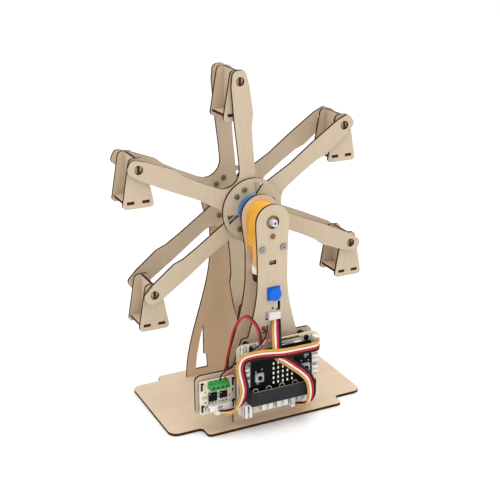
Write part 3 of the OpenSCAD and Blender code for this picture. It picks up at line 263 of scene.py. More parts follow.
MAT = {
    "yellow": plastic("gearbox_yellow", rgb(230, 170, 48), rgb(216, 152, 34), 0.45, 0.3),
    "white": plastic("white_nylon", rgb(240, 238, 230), rgb(226, 223, 213), 0.4),
    "blue": plastic("blue_plastic", rgb(10, 112, 226), rgb(4, 96, 208), 0.5, 0.25),
    "hub": plastic("hub_blue", rgb(96, 146, 192), rgb(72, 122, 170), 0.45, 0.3),
    "green": plastic("green_plastic", rgb(72, 162, 84), rgb(48, 136, 62), 0.5, 0.3),
    "black": plastic("black_plastic", rgb(14, 14, 15), rgb(6, 6, 7), 0.6, 0.15),
    "dark": plastic("connector_grey", rgb(44, 44, 46), rgb(33, 33, 35), 0.62, 0.18),
    "grey": plastic("button_case", rgb(186, 188, 192), rgb(160, 162, 168), 0.3),
    "led": plastic("led_white", rgb(250, 250, 246), rgb(232, 232, 226), 0.25),
    "yellow_wire": plastic("wire_yellow", rgb(198, 154, 70), rgb(184, 138, 52), 0.5, 0.3),
    "white_wire": plastic("wire_white", rgb(244, 232, 226), rgb(234, 220, 212), 0.42),
    "red_wire": plastic("wire_red", rgb(190, 42, 50), rgb(164, 28, 36), 0.5, 0.3),
    "black_wire": plastic("wire_black", rgb(42, 22, 28), rgb(26, 12, 17), 0.55, 0.2),
    "steel": metal("screw_steel", rgb(176, 174, 172), rgb(128, 127, 126), 0.4),
    "bolt": metal("bolt_steel", rgb(166, 158, 138), rgb(104, 97, 82), 0.5),
    "can": metal("motor_can", rgb(206, 206, 204), rgb(170, 170, 170), 0.34, (1, 1, 0.1)),
    "gold": metal("contact_gold", rgb(232, 196, 110), rgb(196, 156, 76), 0.3),
    "pad": plastic("pad_plating", rgb(226, 219, 192), rgb(206, 197, 166), 0.4, 0.6),
    "pale": board_mat("pale_mask", rgb(234, 227, 212), rgb(226, 218, 200),
                      rgb(212, 200, 170), 0.4, 0.35),
    "brass": metal("brass", rgb(214, 180, 104), rgb(176, 140, 70), 0.35),
    "shell": plastic("socket_nylon", rgb(236, 232, 228), rgb(224, 219, 214), 0.42),
    "shaft": plastic("shaft_nylon", rgb(216, 214, 224), rgb(204, 202, 214), 0.4),
    # painted shade: a near black for holes, slots and gaps that are dark only by shade
    "painted_shade": plastic("bore_shade", rgb(24, 22, 28), rgb(12, 11, 15), 0.7),
    "teal": plastic("teal_print", rgb(70, 140, 150), rgb(52, 120, 132), 0.45),
    "print": plastic("white_print", rgb(212, 212, 216), rgb(190, 190, 196), 0.6),
    "tantalum": plastic("tantalum_yellow", rgb(206, 190, 96), rgb(190, 170, 74), 0.45),
    "ceramic": plastic("resistor_body", rgb(44, 42, 44), rgb(26, 25, 27), 0.45),
    "tin": metal("solder_tin", rgb(206, 206, 204), rgb(168, 168, 168), 0.34),
    "cream": board_mat("cream_mask", rgb(222, 212, 192), rgb(214, 203, 180),
                       rgb(196, 182, 148)),
    "board": board_mat("black_mask", rgb(4, 4, 5), rgb(2, 2, 3), rgb(9, 9, 10), 0.6, 0.1),
}


def shell_front():
    """Yellow shell whose locating peg, in its hole, is darker at the end: painted shade, darkest past the
    peg's end and lighter brown from its foot on.
    """
    end, foot, half = -0.0466, -0.0441, 0.0085  # y of the peg's end and foot, and its half width
    k = Look("gearbox_yellow_front_painted_shade", 0.4)
    fine = k.noise(1500, detail=3)
    col = k.ramp(k.noise(90, detail=3), [(0.3, rgb(216, 152, 34)), (0.7, rgb(230, 170, 48))])
    # painted shade in the hole round the peg and shaft: dark brown past the end, lighter brown from the foot
    # on
    tip = k.math("LESS_THAN", k.part("Object", 1), end)
    deep = k.math("MULTIPLY", k.math("LESS_THAN", k.part("Object", 1), foot),
                  k.math("LESS_THAN", k.math("ABSOLUTE", k.part("Object", 0)), half))
    col = k.mix(deep, col, rgb(166, 126, 48))
    k.colour(k.mix(tip, col, rgb(118, 84, 36)))
    k.rough(k.math("ADD", k.math("MULTIPLY", fine, 0.16), 0.32))
    return k.bump(fine, 0.12, 0.0001).m


def spacer_mat():
    """Black nylon above, white nylon for the two lower screws and spacers."""
    white_below = 0.03
    k = Look("spacer_nylon", 0.5, spec=0.2)
    fine = k.noise(1500, detail=3)
    low = k.math("LESS_THAN", k.part("Object", 2), white_below)
    dark = k.ramp(fine, [(0.3, rgb(6, 6, 7)), (0.7, rgb(15, 15, 16))])
    pale = k.ramp(fine, [(0.3, rgb(206, 200, 190)), (0.7, rgb(222, 217, 208))])
    k.colour(k.mix(low, dark, pale))
    k.rough(k.math("ADD", k.math("MULTIPLY", fine, 0.2), 0.42))
    return k.bump(fine, 0.12, 0.0001).m


def cell_wrap():
    """Dark printed sleeve with bare steel at both ends of each cell."""
    band_in, band_out, steel = 0.0145, 0.0172, 0.0214  # x from the middle of the cell
    k = Look("cell_wrap", 0.3)
    fine = k.noise(1400, (0.1, 1, 1), 4)
    sleeve = k.ramp(k.noise(80), [(0.3, rgb(38, 44, 56)), (0.7, rgb(58, 66, 82))])
    out = k.math("ABSOLUTE", k.part("Object", 0))
    band = k.math("MULTIPLY", k.math("GREATER_THAN", out, band_in),
                  k.math("LESS_THAN", out, band_out))
    bare = k.math("GREATER_THAN", out, steel)
    k.colour(k.mix(bare, k.mix(band, sleeve, rgb(196, 150, 70)), rgb(190, 190, 188)))
    k.put(bare, k.b.inputs["Metallic"])
    k.rough(k.math("ADD", k.math("MULTIPLY", fine, 0.2), 0.22))
    return k.bump(fine, 0.1, 0.00005).m


MAT["shell_front"] = shell_front()
MAT["wrap"] = cell_wrap()
MAT["spacer"] = spacer_mat()
# the material of each slot of the record
SLOTS = {"yellow_plastic": "yellow", "white_plastic": "white",
         "blue_plastic": "blue", "green_plastic": "green", "black_plastic": "black",
         "dark_plastic": "dark", "grey_case": "grey", "cream_board": "cream",
         "black_board": "board", "led_white": "led", "gold_pad": "gold", "steel": "steel",
         "motor_steel": "can", "cell_wrap": "wrap"}
# nodes that look different from the rest of their slot
DRESS = {"drive_hub": "hub", "wheel_screws": "bolt", "wheel_nuts": "bolt",
         "output_shaft": "shaft", "cable_plugs": "shell", "battery_cells": "wrap",
         "gearbox_front": "shell_front", "board_spacers": "spacer"}


def pivot_of(node):
    """Pivot of a gondola as (x, z), with the middle and half width of its two sides."""
    low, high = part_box(node[:9] + "_sides")
    return ((low.x + high.x) / 2, high.z - SIDE_UP, (low.y + high.y) / 2, (high.y - low.y) / 2)


def wood_of(node):
    """Plywood for one board, with its own grain where boards lie side by side."""
    if node.endswith("_seat"):
        split = (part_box(node)[0].z + SEAT_TOP, 0)
        return plywood("plywood_" + node, 2, 1, (0.1 * int(node[8]), 0, 0), split, pivot_of(node))
    if node.endswith("_sides"):
        return plywood("plywood_" + node, 1, 2, (0.1 * int(node[8]), 0.3, 0),
                       pivot=pivot_of(node))
    k = sum(ord(c) for c in node) % 17
    return plywood("plywood_" + node, 1, 2, (0.13 * k, 0.07 * k, 0))


def dress_nodes():
    """Gives every node of the CAD its material."""
    upright = plywood("plywood_upright", 1, 2)
    # painted light: the inner and rear boards and the base get brighter wood than the front board, to stand
    # in for light falling on them
    behind = plywood("plywood_behind_painted_light", 1, 2, (0.4, 0.2, 0), painted_light=(1.13, 1.06, 1.0))
    boards = {"base_plate": plywood("plywood_base", 2, 0, painted_light=(1.22, 1.19, 1.16)),
              "front_plate": upright, "inner_plate": behind, "rear_plate": behind}
    for part in frame["record"]["subparts"]:
        node, slot = part["node"], part["material_slot"]
        obj = frame["nodes"][node]
        if slot == "plywood":
            m = boards[node] if node in boards else wood_of(node)
        elif slot in ("ribbon", "red_wire", "black_wire"):
            m = MAT["red_wire"]
        elif node in DRESS:
            m = MAT[DRESS[node]]
        else:
            m = MAT[SLOTS[slot]]
        for s in obj.material_slots:
            s.material = m
        if not obj.material_slots:
            obj.data.materials.append(m)


dress_nodes()


# ---------------------------------------------------------------- mesh helpers
def piece(name, verts, faces, mats, body="stand", index=None, smooth=False):
    """A mesh in the scene from corners in millimetres, riding on its body."""
    me = bpy.data.meshes.new(name)
    me.from_pydata([Vector(v) * MM for v in verts], [], faces)
    for m in mats:
        me.materials.append(m)
    if index:
        me.polygons.foreach_set("material_index", index)
    me.polygons.foreach_set("use_smooth", [smooth] * len(me.polygons))
    me.update()
    obj = bpy.data.objects.new(name, me)
    scene.collection.objects.link(obj)
    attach(obj, body)
    return obj


def outward(obj):
    """Turns the faces of each closed shell outward."""
    bm = bmesh.new()
    bm.from_mesh(obj.data)
    bmesh.ops.recalc_face_normals(bm, faces=bm.faces[:])
    bm.to_mesh(obj.data)
    bm.free()
    return obj


class Build:
    """Gathers solids in millimetres into one mesh with several materials."""

    def __init__(self):
        self.v, self.f, self.i = [], [], []

    def add(self, verts, faces, m=0):
        """m is the place of the material in the list that done() gets."""
        o = len(self.v)
        self.v += [tuple(p) for p in verts]
        self.f += [tuple(o + k for k in f) for f in faces]
        self.i += [m] * len(faces)

    def box(self, x0, x1, y0, y1, z0, z1, m=0, ease=0.0):
        """A box with its edges eased by a chamfer."""
        lo, hi = (x0, y0, z0), (x1, y1, z1)
        c = min(ease, *[(b - a) / 2.01 for a, b in zip(lo, hi)])
        if c <= 0:
            p = [(x, y, z) for x in (x0, x1) for y in (y0, y1) for z in (z0, z1)]
            self.add(p, [(0, 1, 3, 2), (4, 6, 7, 5), (0, 4, 5, 1), (2, 3, 7, 6), (0, 2, 6, 4),
                         (1, 5, 7, 3)], m)
            return
        bm = bmesh.new()
        bmesh.ops.create_cube(bm, size=1)
        for v in bm.verts:
            v.co = Vector([(a + b) / 2 + t * (b - a) for a, b, t in zip(lo, hi, v.co)])
        bmesh.ops.bevel(bm, geom=bm.edges[:], offset=c, segments=2, profile=0.5,
                        affect="EDGES")
        bm.verts.index_update()
        self.add([v.co[:] for v in bm.verts], [[v.index for v in f.verts] for f in bm.faces], m)
        bm.free()

    def lathe(self, profile, centre, axis=1, n=24, m=0, caps=True):
        """profile is [(radius, height)] turned round axis 0, 1 or 2 through centre."""
        c = Vector(centre)
        u = Vector([(0, 1, 0), (1, 0, 0), (1, 0, 0)][axis])
        w = Vector([(0, 0, 1), (0, 0, 1), (0, 1, 0)][axis])
        a = Vector([1 if k == axis else 0 for k in range(3)])
        verts, faces = [], []
        for r, h in profile:
            for k in range(n):
                t = 2 * math.pi * k / n
                verts.append(c + u * r * math.cos(t) + w * r * math.sin(t) + a * h)
        for j in range(len(profile) - 1):
            for k in range(n):
                q = (k + 1) % n
                faces.append((j * n + k, j * n + q, (j + 1) * n + q, (j + 1) * n + k))
        if caps:
            faces.append(tuple(range(n)))
            last = (len(profile) - 1) * n
            faces.append(tuple(last + k for k in reversed(range(n))))
        self.add(verts, faces, m)

    def ring(self, r0, r1, h0, h1, centre, axis=1, n=32, m=0):
        """A flat washer from radius r0 to r1 and height h0 to h1."""
        self.lathe([(r0, h0), (r1, h0), (r1, h1), (r0, h1), (r0, h0)], centre, axis, n, m, False)

    def extrude(self, corners, axis, t0, t1, m=0):
        """corners are (y, z) for axis 0 or (x, z) for axis 1, pushed along it from t0 to t1."""
        n = len(corners)
        verts = [(t, *p) if axis == 0 else (p[0], t, p[1]) for t in (t0, t1) for p in corners]
        faces = [tuple(range(n)), tuple(n + k for k in reversed(range(n)))]
        faces += [(k, n + k, n + (k + 1) % n, (k + 1) % n) for k in range(n)]
        self.add(verts, faces, m)

    def loft(self, rings):
        """A closed skin over rings of as many corners each, from the first to the last."""
        n = len(rings[0])
        verts = [p for ring in rings for p in ring]
        faces = [tuple(range(n)), tuple(range(len(verts) - n, len(verts)))]
        for j in range(len(rings) - 1):
            faces += [(j * n + k, j * n + (k + 1) % n, (j + 1) * n + (k + 1) % n, (j + 1) * n + k)
                      for k in range(n)]
        self.add(verts, faces)

    def done(self, name, mats, body="stand"):
        """The piece that the solids make up."""
        return outward(piece(name, self.v, self.f, mats, body, self.i))


# ---------------------------------------------------------------- cables
def smooth_line(points, sides):
    """Points and side directions on one smooth curve through the route."""
    steps = 7  # between two points of the route
    p = [Vector(q) for q in points]
    s = [Vector(q).normalized() for q in sides]
    out, ways = [], []
    for i in range(len(p) - 1):
        a, b, c, d = p[max(i - 1, 0)], p[i], p[i + 1], p[min(i + 2, len(p) - 1)]
        m0 = (c - a) / 2 if i else (c - b)
        m1 = (d - b) / 2 if i + 2 < len(p) else (c - b)
        near = (c - b).length
        m0 *= min(1, near / max(m0.length, 1e-6))
        m1 *= min(1, near / max(m1.length, 1e-6))
        for k in range(steps):
            t = k / steps
            h = (2 * t**3 - 3 * t**2 + 1, t**3 - 2 * t**2 + t, -2 * t**3 + 3 * t**2, t**3 - t**2)
            out.append(b * h[0] + m0 * h[1] + c * h[2] + m1 * h[3])
            ways.append(s[i].lerp(s[i + 1], t))
    out.append(p[-1])
    ways.append(s[-1])
    return out, ways


def frames(line, ways):
    """Each point of the line with two directions across it."""
    for i, p in enumerate(line):
        t = (line[min(i + 1, len(line) - 1)] - line[max(i - 1, 0)]).normalized()
        s = (ways[i] - t * ways[i].dot(t)).normalized()
        yield p, s, t.cross(s)


def wires(name, points, sides, offsets, radius, mats, **facts):
    """Round wires side by side along one route; offsets are across it, in millimetres."""
    n = 10  # sides of a wire
    line, ways = smooth_line(points, sides)
    verts, faces, index = [], [], []
    for w, off in enumerate(offsets):
        o = len(verts)
        for p, s, u in frames(line, ways):
            for k in range(n):
                a = 2 * math.pi * (k + 0.5) / n
                verts.append(p + s * (off + radius * math.cos(a)) + u * (radius * math.sin(a)))
        for j in range(o, o + (len(line) - 1) * n, n):
            faces += [(j + k, j + (k + 1) % n, j + n + (k + 1) % n, j + n + k) for k in range(n)]
            index += [w] * n
        last = o + (len(line) - 1) * n
        faces += [tuple(o + k for k in reversed(range(n))), tuple(last + k for k in range(n))]
        index += [w, w]
    obj = outward(piece(name, verts, faces, mats, "stand", index, True))
    return obj


# routes of the cables in millimetres, and the direction across each ribbon at its points
SENSOR = [[2, -48, 84.5], [2, -48.6, 81], [-0.7, -54, 76.5], [-3.2, -59.5, 73.5],
          [-5.4, -64.6, 68.6], [-4.6, -65.8, 62.1], [0.5, -66.3, 58.3], [7.4, -67, 52.4],
          [14.7, -67.6, 46.1], [20, -68.8, 39.7], [21.9, -70, 32.6], [22, -70, 25],
          [20.8, -68.3, 18.8], [18, -65.4, 15.2], [15.3, -62.4, 14.2], [12.7, -61, 14.2]]
SENSOR_SIDES = [[1, 0, 0]] * 5 + [
    [0.9, 0, 0.4], [0.6, 0, 0.8], [0.65, 0, 0.75], [0.7, 0, 0.7], [0.85, 0, 0.5],
    [0.95, 0, 0.3], [1, 0.07, 0.1], [0.9, 0.4, 0], [0.5, 0.8, 0], [0.25, 1, 0], [0, 1, 0]]
DRIVER = [[-50, -55.8, 19.7], [-47, -56.2, 19.3], [-43.3, -57.6, 19.3], [-39.8, -60, 21.3],
          [-36.6, -62.2, 25.9], [-34, -64, 32.4], [-33.5, -65.5, 40.3], [-35.3, -66.5, 48.4],
          [-37.1, -67.3, 55.2], [-37.6, -68, 62], [-35.2, -68.5, 66.8], [-29.3, -68.5, 68],
          [-20.1, -68.5, 67.8], [-12.6, -68.5, 66.8], [-4.1, -68.5, 65.5], [5, -68, 64.7],
          [12.8, -67.8, 64.5], [20, -67.8, 64.4], [26.5, -67.8, 64.5], [28.6, -67.3, 65.2],
          [30, -65.8, 65.8], [30.6, -64, 65.9]]
DRIVER_SIDES = [[0, 1, 0], [0, 1, 0], [0.1, 1, 0], [0.3, 0.9, -0.2], [0.8, 0.5, -0.3],
                [1, 0.1, -0.1], [1, 0, 0], [1, 0, 0.1], [1, 0, 0], [0.95, 0, -0.3],
                [0.6, 0, -0.8], [0.2, 0, -1]] + [[0, 0, -1]] * 10
BATTERY = [[-16.5, -58.5, 72.6], [-16.5, -58.5, 76], [-18, -58.5, 83], [-21, -58, 89.5],
           [-26, -56, 95], [-31, -53.5, 93], [-35, -51, 84], [-37, -48.5, 71], [-38, -45, 58],
           [-36.5, -41, 47], [-33, -38, 34], [-30.5, -35.5, 23], [-28.5, -35, 19], [-26, -35, 19]]
RED = [[-4, -36, 112.6], [-4, -36, 106], [-5, -38.5, 91], [-6, -42, 79], [-6, -47, 76],
       [-7, -54, 76.5], [-10.5, -60, 75], [-17, -63.5, 71.5], [-25, -64, 68], [-31, -62.5, 62],
       [-37, -58, 54.5], [-41.8, -53.8, 50], [-43.2, -51.8, 47.2], [-43.3, -51.5, 43.6]]
BLACK = [[-8, -36, 112.6], [-8, -36, 106], [-8.5, -38.5, 91], [-8.5, -42, 79.5],
         [-8.5, -47, 77.5], [-9.5, -54, 79], [-13, -60.5, 78], [-19, -63.5, 74],
         [-26, -63.5, 70.5], [-32, -61.5, 65], [-39, -57, 58], [-45, -53.3, 51.8],
         [-47, -51.8, 47.8], [-47.1, -51.5, 43.6]]
FOUR = [MAT["yellow_wire"], MAT["white_wire"], MAT["red_wire"], MAT["black_wire"]]
PITCH = [-2.94, -0.98, 0.98, 2.94]
WIRE_R, TWIN_R, LEAD_R = 0.96, 0.8, 0.6


def cables():
    """The five cables, each on the route of its solid in the CAD."""
    plug = {"with_pieces": [frame["nodes"]["cable_plugs"]]}
    red, black = MAT["red_wire"], MAT["black_wire"]
    for name, solid, slot, route, sides, offsets, radius, mats, more in (
            ("sensor_ribbon", "sensor_cable", "ribbon", SENSOR, SENSOR_SIDES, PITCH, WIRE_R, FOUR,
             plug),
            ("driver_ribbon", "driver_cable", "ribbon", DRIVER, DRIVER_SIDES, PITCH, WIRE_R, FOUR,
             {}),
            ("battery_twin", "battery_lead", "red_wire", BATTERY, [[0.8, 0.5, 0]] * len(BATTERY),
             [-TWIN_R, TWIN_R], TWIN_R, [red, black], {}),
            ("lead_red", "motor_lead_red", "red_wire", RED, [[0.4, 0.9, 0.1]] * len(RED), [0],
             LEAD_R, [red], {}),
            ("lead_black", "motor_lead_black", "black_wire", BLACK,
             [[0.4, 0.9, 0.1]] * len(BLACK), [0], LEAD_R, [black], {})):
        obj = wires(name, route, sides, offsets, radius, mats, far_end="object",
                    stiffness="limp", lay="loose", **more)
        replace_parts(obj, solid)


cables()


# ---------------------------------------------------------------- front board
# millimetres: the head's radius in the CAD and here, the half width that stays as it is,
# the height of the wheel's axis and the lowest height that changes
HEAD_OLD, HEAD_NEW, NECK_HALF, AXIS_H, NECK_Z = 15.7, 13.7, 12.6, 163.0, 133.0


def front_board():
    """The front board with the narrow head of the photograph in place of the solid's wider one."""
    solid = frame["nodes"]["front_plate"]
    bm = bmesh.new()
    bm.from_mesh(solid.data)
    bmesh.ops.remove_doubles(bm, verts=bm.verts[:], dist=0.000002)
    squeeze = (HEAD_NEW - NECK_HALF) / (HEAD_OLD - NECK_HALF)
    for v in bm.verts:
        x, z = v.co.x / MM, v.co.z / MM
        r = math.hypot(x, z - AXIS_H)
        if z >= AXIS_H and r > HEAD_NEW:
            v.co.x *= HEAD_NEW / r
            v.co.z = (AXIS_H + (z - AXIS_H) * HEAD_NEW / r) * MM
        elif NECK_Z <= z < AXIS_H and abs(x) > NECK_HALF:
            v.co.x = math.copysign(NECK_HALF + (abs(x) - NECK_HALF) * squeeze, x) * MM
    bm.verts.index_update()
    obj = piece("front_board", [v.co / MM for v in bm.verts],
                [[v.index for v in f.verts] for f in bm.faces],
                [solid.material_slots[0].material])
    bm.free()
    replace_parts(obj, "front_plate")


front_board()


# ---------------------------------------------------------------- small parts
# front faces of the breakout, driver and controller boards, and their thickness
BOARD_Y, DRIVER_Y, CTRL_Y, THICK = -56.5, -50.0, -62.51, 1.6
# middles of the controller's ring holes and of its edge fingers
RING_XS = [11.4 * k for k in range(-2, 3)]
RING_Z = 34.65
FINGER_XS = [-24.9 + 1.277 * k for k in range(40)]
# axes of the motor and of the dial
MOTOR_Y, DIAL_X, DIAL_Z = -34.9, 0.8, 105.7
# white sockets: x, z, width, height, axis of the open side, its direction
SOCKETS = [(-29.4, 69.6, 5.28, 7.08, 2, 1), (-16.45, 69.6, 6.05, 5.6, 2, 1),
           (-29.05, 41.6, 5.28, 7.52, 0, -1), (-29.05, 51.04, 5.28, 7.52, 0, -1),
           (-27.72, 17.56, 7.04, 11.2, 2, -1), (-11.48, 19.92, 11, 8, 2, -1),
           (1.47, 19.92, 11, 8, 2, -1), (14, 19.92, 10.12, 8, 2, -1),
           (30.8, 66.08, 6.05, 7.08, 1, -1), (30.1, 41.6, 5.28, 7.52, 0, 1),
           (30.1, 51.04, 5.28, 7.52, 0, 1)]


def hollow(b, lo, hi, axis, way, pins=4):
    """A housing open on one side, with a slit in one wall and a row of pins on its base."""
    wall, base, pin = 0.6, 0.9, 0.22
    side, other = [k for k in range(3) if k != axis]
    if hi[side] - lo[side] < hi[other] - lo[other]:
        side, other = other, side
    deep, wide = hi[axis] - lo[axis], hi[side] - lo[side]

    def above(t0, t1):
        """Two heights over the outside of the base, as a span of the axis."""
        return (lo[axis] + t0, lo[axis] + t1) if way > 0 else (hi[axis] - t1, hi[axis] - t0)

    def put(m, ease, spans):
        """A box as large as the housing, apart from the spans given for some axes."""
        b.box(*[v for k in range(3) for v in spans.get(k, (lo[k], hi[k]))], m, ease)

    put(0, 0.15, {axis: above(0, base)})
    mid, slit = (lo[side] + hi[side]) / 2, wide * 0.11
    near = (lo[other], lo[other] + wall)
    for spans in ({side: (lo[side], lo[side] + wall)}, {side: (hi[side] - wall, hi[side])},
                  {other: (hi[other] - wall, hi[other])},
                  {other: near, side: (lo[side], mid - slit)},
                  {other: near, side: (mid + slit, hi[side])}):
        put(0, 0.12, {axis: above(base - 0.1, deep), **spans})
    cross = (lo[other] + hi[other]) / 2
    for k in range(pins):
        q = mid + (k - (pins - 1) / 2) * (wide - 2 * wall) / pins
        put(1, 0.1, {axis: above(base - 0.1, 0.72 * deep), side: (q - pin, q + pin),
                     other: (cross - pin, cross + pin)})


def socket_shells():
    """The breakout board's sockets, and the wide one of the driver board."""
    b = Build()
    for x, z, w, h, axis, way in SOCKETS:
        hollow(b, (x - w / 2, BOARD_Y - 4.2, z - h / 2), (x + w / 2, BOARD_Y, z + h / 2),
               axis, way)
    hollow(b, (-57.99, -54, 21.03), (-39.13, DRIVER_Y, 25.56), 2, -1, pins=6)
    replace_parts(b.done("socket_shells", [MAT["shell"], MAT["tin"]]),
                "board_sockets")


def chip(b, x, z, w, h, y, thick, legs):
    """A small outline package: body, a dot by pin one, bent legs above and below."""
    b.box(x - w / 2, x + w / 2, y - thick, y - 0.12, z - h / 2, z + h / 2, 0, 0.12)
    b.lathe([(0.42, -0.03), (0.36, 0.01)], (x - w / 2 + 0.9, y - thick, z + h / 2 - 0.9),
            1, 14, 2)
    reach, half = 0.85, 0.2
    # three boxes a leg: out of the body, the foot, and the bend between them
    spans = ((-0.05, 0.5 * reach, 0.6 * thick, 0.35 * thick), (0.35 * reach, reach, 0.26, 0.02),
             (0.35 * reach, 0.55 * reach, 0.6 * thick, 0.05))
    for k in range(legs):
        q = x + (k - (legs - 1) / 2) * (w - 0.9) / max(legs - 1, 1)
        for t in (-1, 1):
            edge = z + t * h / 2
            for near, far, front, back in spans:
                low, high = sorted((edge + t * near, edge + t * far))
                b.box(q - half, q + half, y - front, y - back, low, high, 1, 0.05)


def chip_two_pole(b, x, z, w, h, y, thick, body, end, upright=False):
    """A resistor or capacitor: a body between two tinned ends."""
    mid, cross, long, wide = (z, x, h, w) if upright else (x, z, w, h)

    def put(a0, a1, half, front, back, m, ease):
        """A box from a0 to a1 along the part, and half wide to each side of it."""
        c0, c1 = cross - half, cross + half
        if upright:
            b.box(c0, c1, y - front, y - back, a0, a1, m, ease)
        else:
            b.box(a0, a1, y - front, y - back, c0, c1, m, ease)

    for t in (-1, 1):
        near, far = sorted((mid + t * long * 0.28, mid + t * long / 2))
        put(near, far, wide / 2, thick, 0.02, end, 0.06)
    put(mid - long * 0.3, mid + long * 0.3, wide / 2 - 0.02, thick + 0.03, 0.05, body, 0.05)


def driver_parts():
    """Clips, chips and small parts on the front of the driver board."""
    b = Build()
    y, clip_back = DRIVER_Y, -46.5
    for x, spans in ((-62.7, ((20.1, 25.8), (38.4, 44.8))),
                     (-36.9, ((19.4, 25.8), (37.9, 44.3)))):
        for z0, z1 in spans:
            b.box(x, x + 1.2, y - 1.0, clip_back, z0, z1 - 0.7, 0, 0.1)
            b.box(x, x + 2.2, y - 1.0, y - 0.02, z1 - 1.3, z1, 0, 0.1)
            b.box(x - 0.4, x + 2.5, y + 1.65, clip_back, z0 + 0.5, z1 - 1, 0, 0.1)
    b.box(-36.9, -36.1, y - 1.0, y, 32.8, 35.3, 0, 0.1)
    for x, z, w, h in ((-53.26, 31.75, 7.02, 7.21), (-44.36, 32.0, 6.3, 5.56)):
        chip(b, x, z, w, h, y, 1.06, 5)
    for x, z in ((-59.3, 27.7), (-59.3, 36.6), (-48.7, 31.0), (-48.7, 33.4), (-39.2, 30.2)):
        chip_two_pole(b, x, z, 0.8, 1.6, y, 0.5, 3, 1, True)
    for x in (-56.4, -53.6, -50.8, -47.6, -44.8, -42.0):
        chip_two_pole(b, x, 26.75, 1.6, 0.8, y, 0.5, 3, 1)
    chip_two_pole(b, -59.8, 31.9, 3.5, 1.8, y, 1.5, 4, 1)
    for z in (38.6, 40.4, 42.2):
        b.lathe([(0.62, -0.06), (0.62, -0.02), (0.3, -0.02)], (-59.2, y, z), 1, 16, 5)
    for x in (-59.0, -38.3):
        b.box(x - 0.75, x + 0.75, y - 2.6, y - 0.02, 20.9, 24.6, 1, 0.2)
    for x in (-60.4, -37.6):
        b.lathe([(0.9, -0.05), (0.9, -0.02), (0.45, -0.02)], (x, y, 19.4), 1, 18, 1)
    mats = [MAT[k] for k in ("black", "tin", "print", "ceramic", "tantalum", "gold")]
    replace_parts(b.done("driver_parts", mats), "driver_chips")


def driver_card():
    """The driver's circuit board: rounded corners, plated rings, printed frame lines."""
    b = Build()
    y, back, x0, x1, z0, z1, r = DRIVER_Y, DRIVER_Y + THICK, -63.5, -34.5, 18.0, 45.5, 1.0
    corners = []
    for cx, cz, a0 in ((x1 - r, z1 - r, 0), (x0 + r, z1 - r, 90), (x0 + r, z0 + r, 180),
                       (x1 - r, z0 + r, 270)):
        for k in range(6):
            a = math.radians(a0 + 18 * k)
            corners.append((cx + r * math.cos(a), cz + r * math.sin(a)))
    b.extrude(corners, 1, y, back)
    for k in range(7):
        b.ring(0.3, 0.62, -0.04, -0.004, (-61.9, y, 27.4 + 1.5 * k), m=1, n=14)
        b.ring(0.3, 0.62, -0.04, -0.004, (-36.0, y, 27.0 + 0.8 * k), m=1, n=14)
    for xa, xb, za, zb in ((-49.6, -47.9, 29.8, 30.0), (-49.6, -47.9, 33.5, 33.7),
                           (-58.2, -39.4, 26.0, 26.15), (-57.4, -40.6, 38.9, 39.05)):
        b.box(xa, xb, y - 0.03, y - 0.004, za, zb, 2)
    for k in range(4):
        b.lathe([(0.75, 0.02), (0.6, 0.5), (0.2, 1.0)], (-54.7 + 3.81 * k, back, 42.3), 1, 14, 3)
    for k in range(6):
        b.lathe([(0.55, 0.02), (0.45, 0.4), (0.15, 0.8)], (-55.5 + 2.5 * k, back, 23.4), 1, 12, 3)
    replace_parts(b.done("driver_card", [MAT["pale"], MAT["pad"], MAT["print"], MAT["tin"]]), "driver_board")


def breakout_parts():
    """Small parts on the front of the breakout board and the solder points on its back."""
    b = Build()
    y, back = BOARD_Y, BOARD_Y + THICK
    b.box(2.2, 17.6, y - 0.9, y, 70.2, 71.0, 0, 0.12)
    for x in (5.6, 10.6, 15.6):
        b.box(x - 0.8, x + 0.8, y - 0.5, y, 71.05, 71.8, 5, 0.08)
    for x in (-8.6, -5.4, 19.6, 29.0):
        chip_two_pole(b, x, 69.8, 0.8, 1.6, y, 0.5, 3, 1, True)
    for z in (58.0, 60.6, 63.2):
        chip_two_pole(b, -31.4, z, 0.8, 1.6, y, 0.5, 3, 1, True)
        chip_two_pole(b, 31.6, z - 4, 0.8, 1.6, y, 0.5, 3, 1, True)
    for x in (-33.4, 33.4):
        for k in range(8):
            b.lathe([(0.62, -0.05), (0.62, -0.02), (0.3, -0.02)], (x, y, 26 + 1.9 * k), 1, 14, 5)
    for k in range(20):
        for z in (28.2, 31.4):
            b.lathe([(0.5, 0.02), (0.42, 0.5), (0.12, 0.8)], (-24.2 + 2.54 * k, back, z), 1, 10, 1)
    for x, z, w, h in (row[:4] for row in SOCKETS):
        for k in range(4):
            q = (k - 1.5) * 0.2 * w
            b.lathe([(0.4, 0.02), (0.32, 0.4), (0.1, 0.6)], (x + q, back, z - h * 0.2), 1, 10, 1)
    mats = [MAT[k] for k in ("black", "tin", "print", "ceramic", "tantalum", "gold")]
    b.done("breakout_parts", mats)


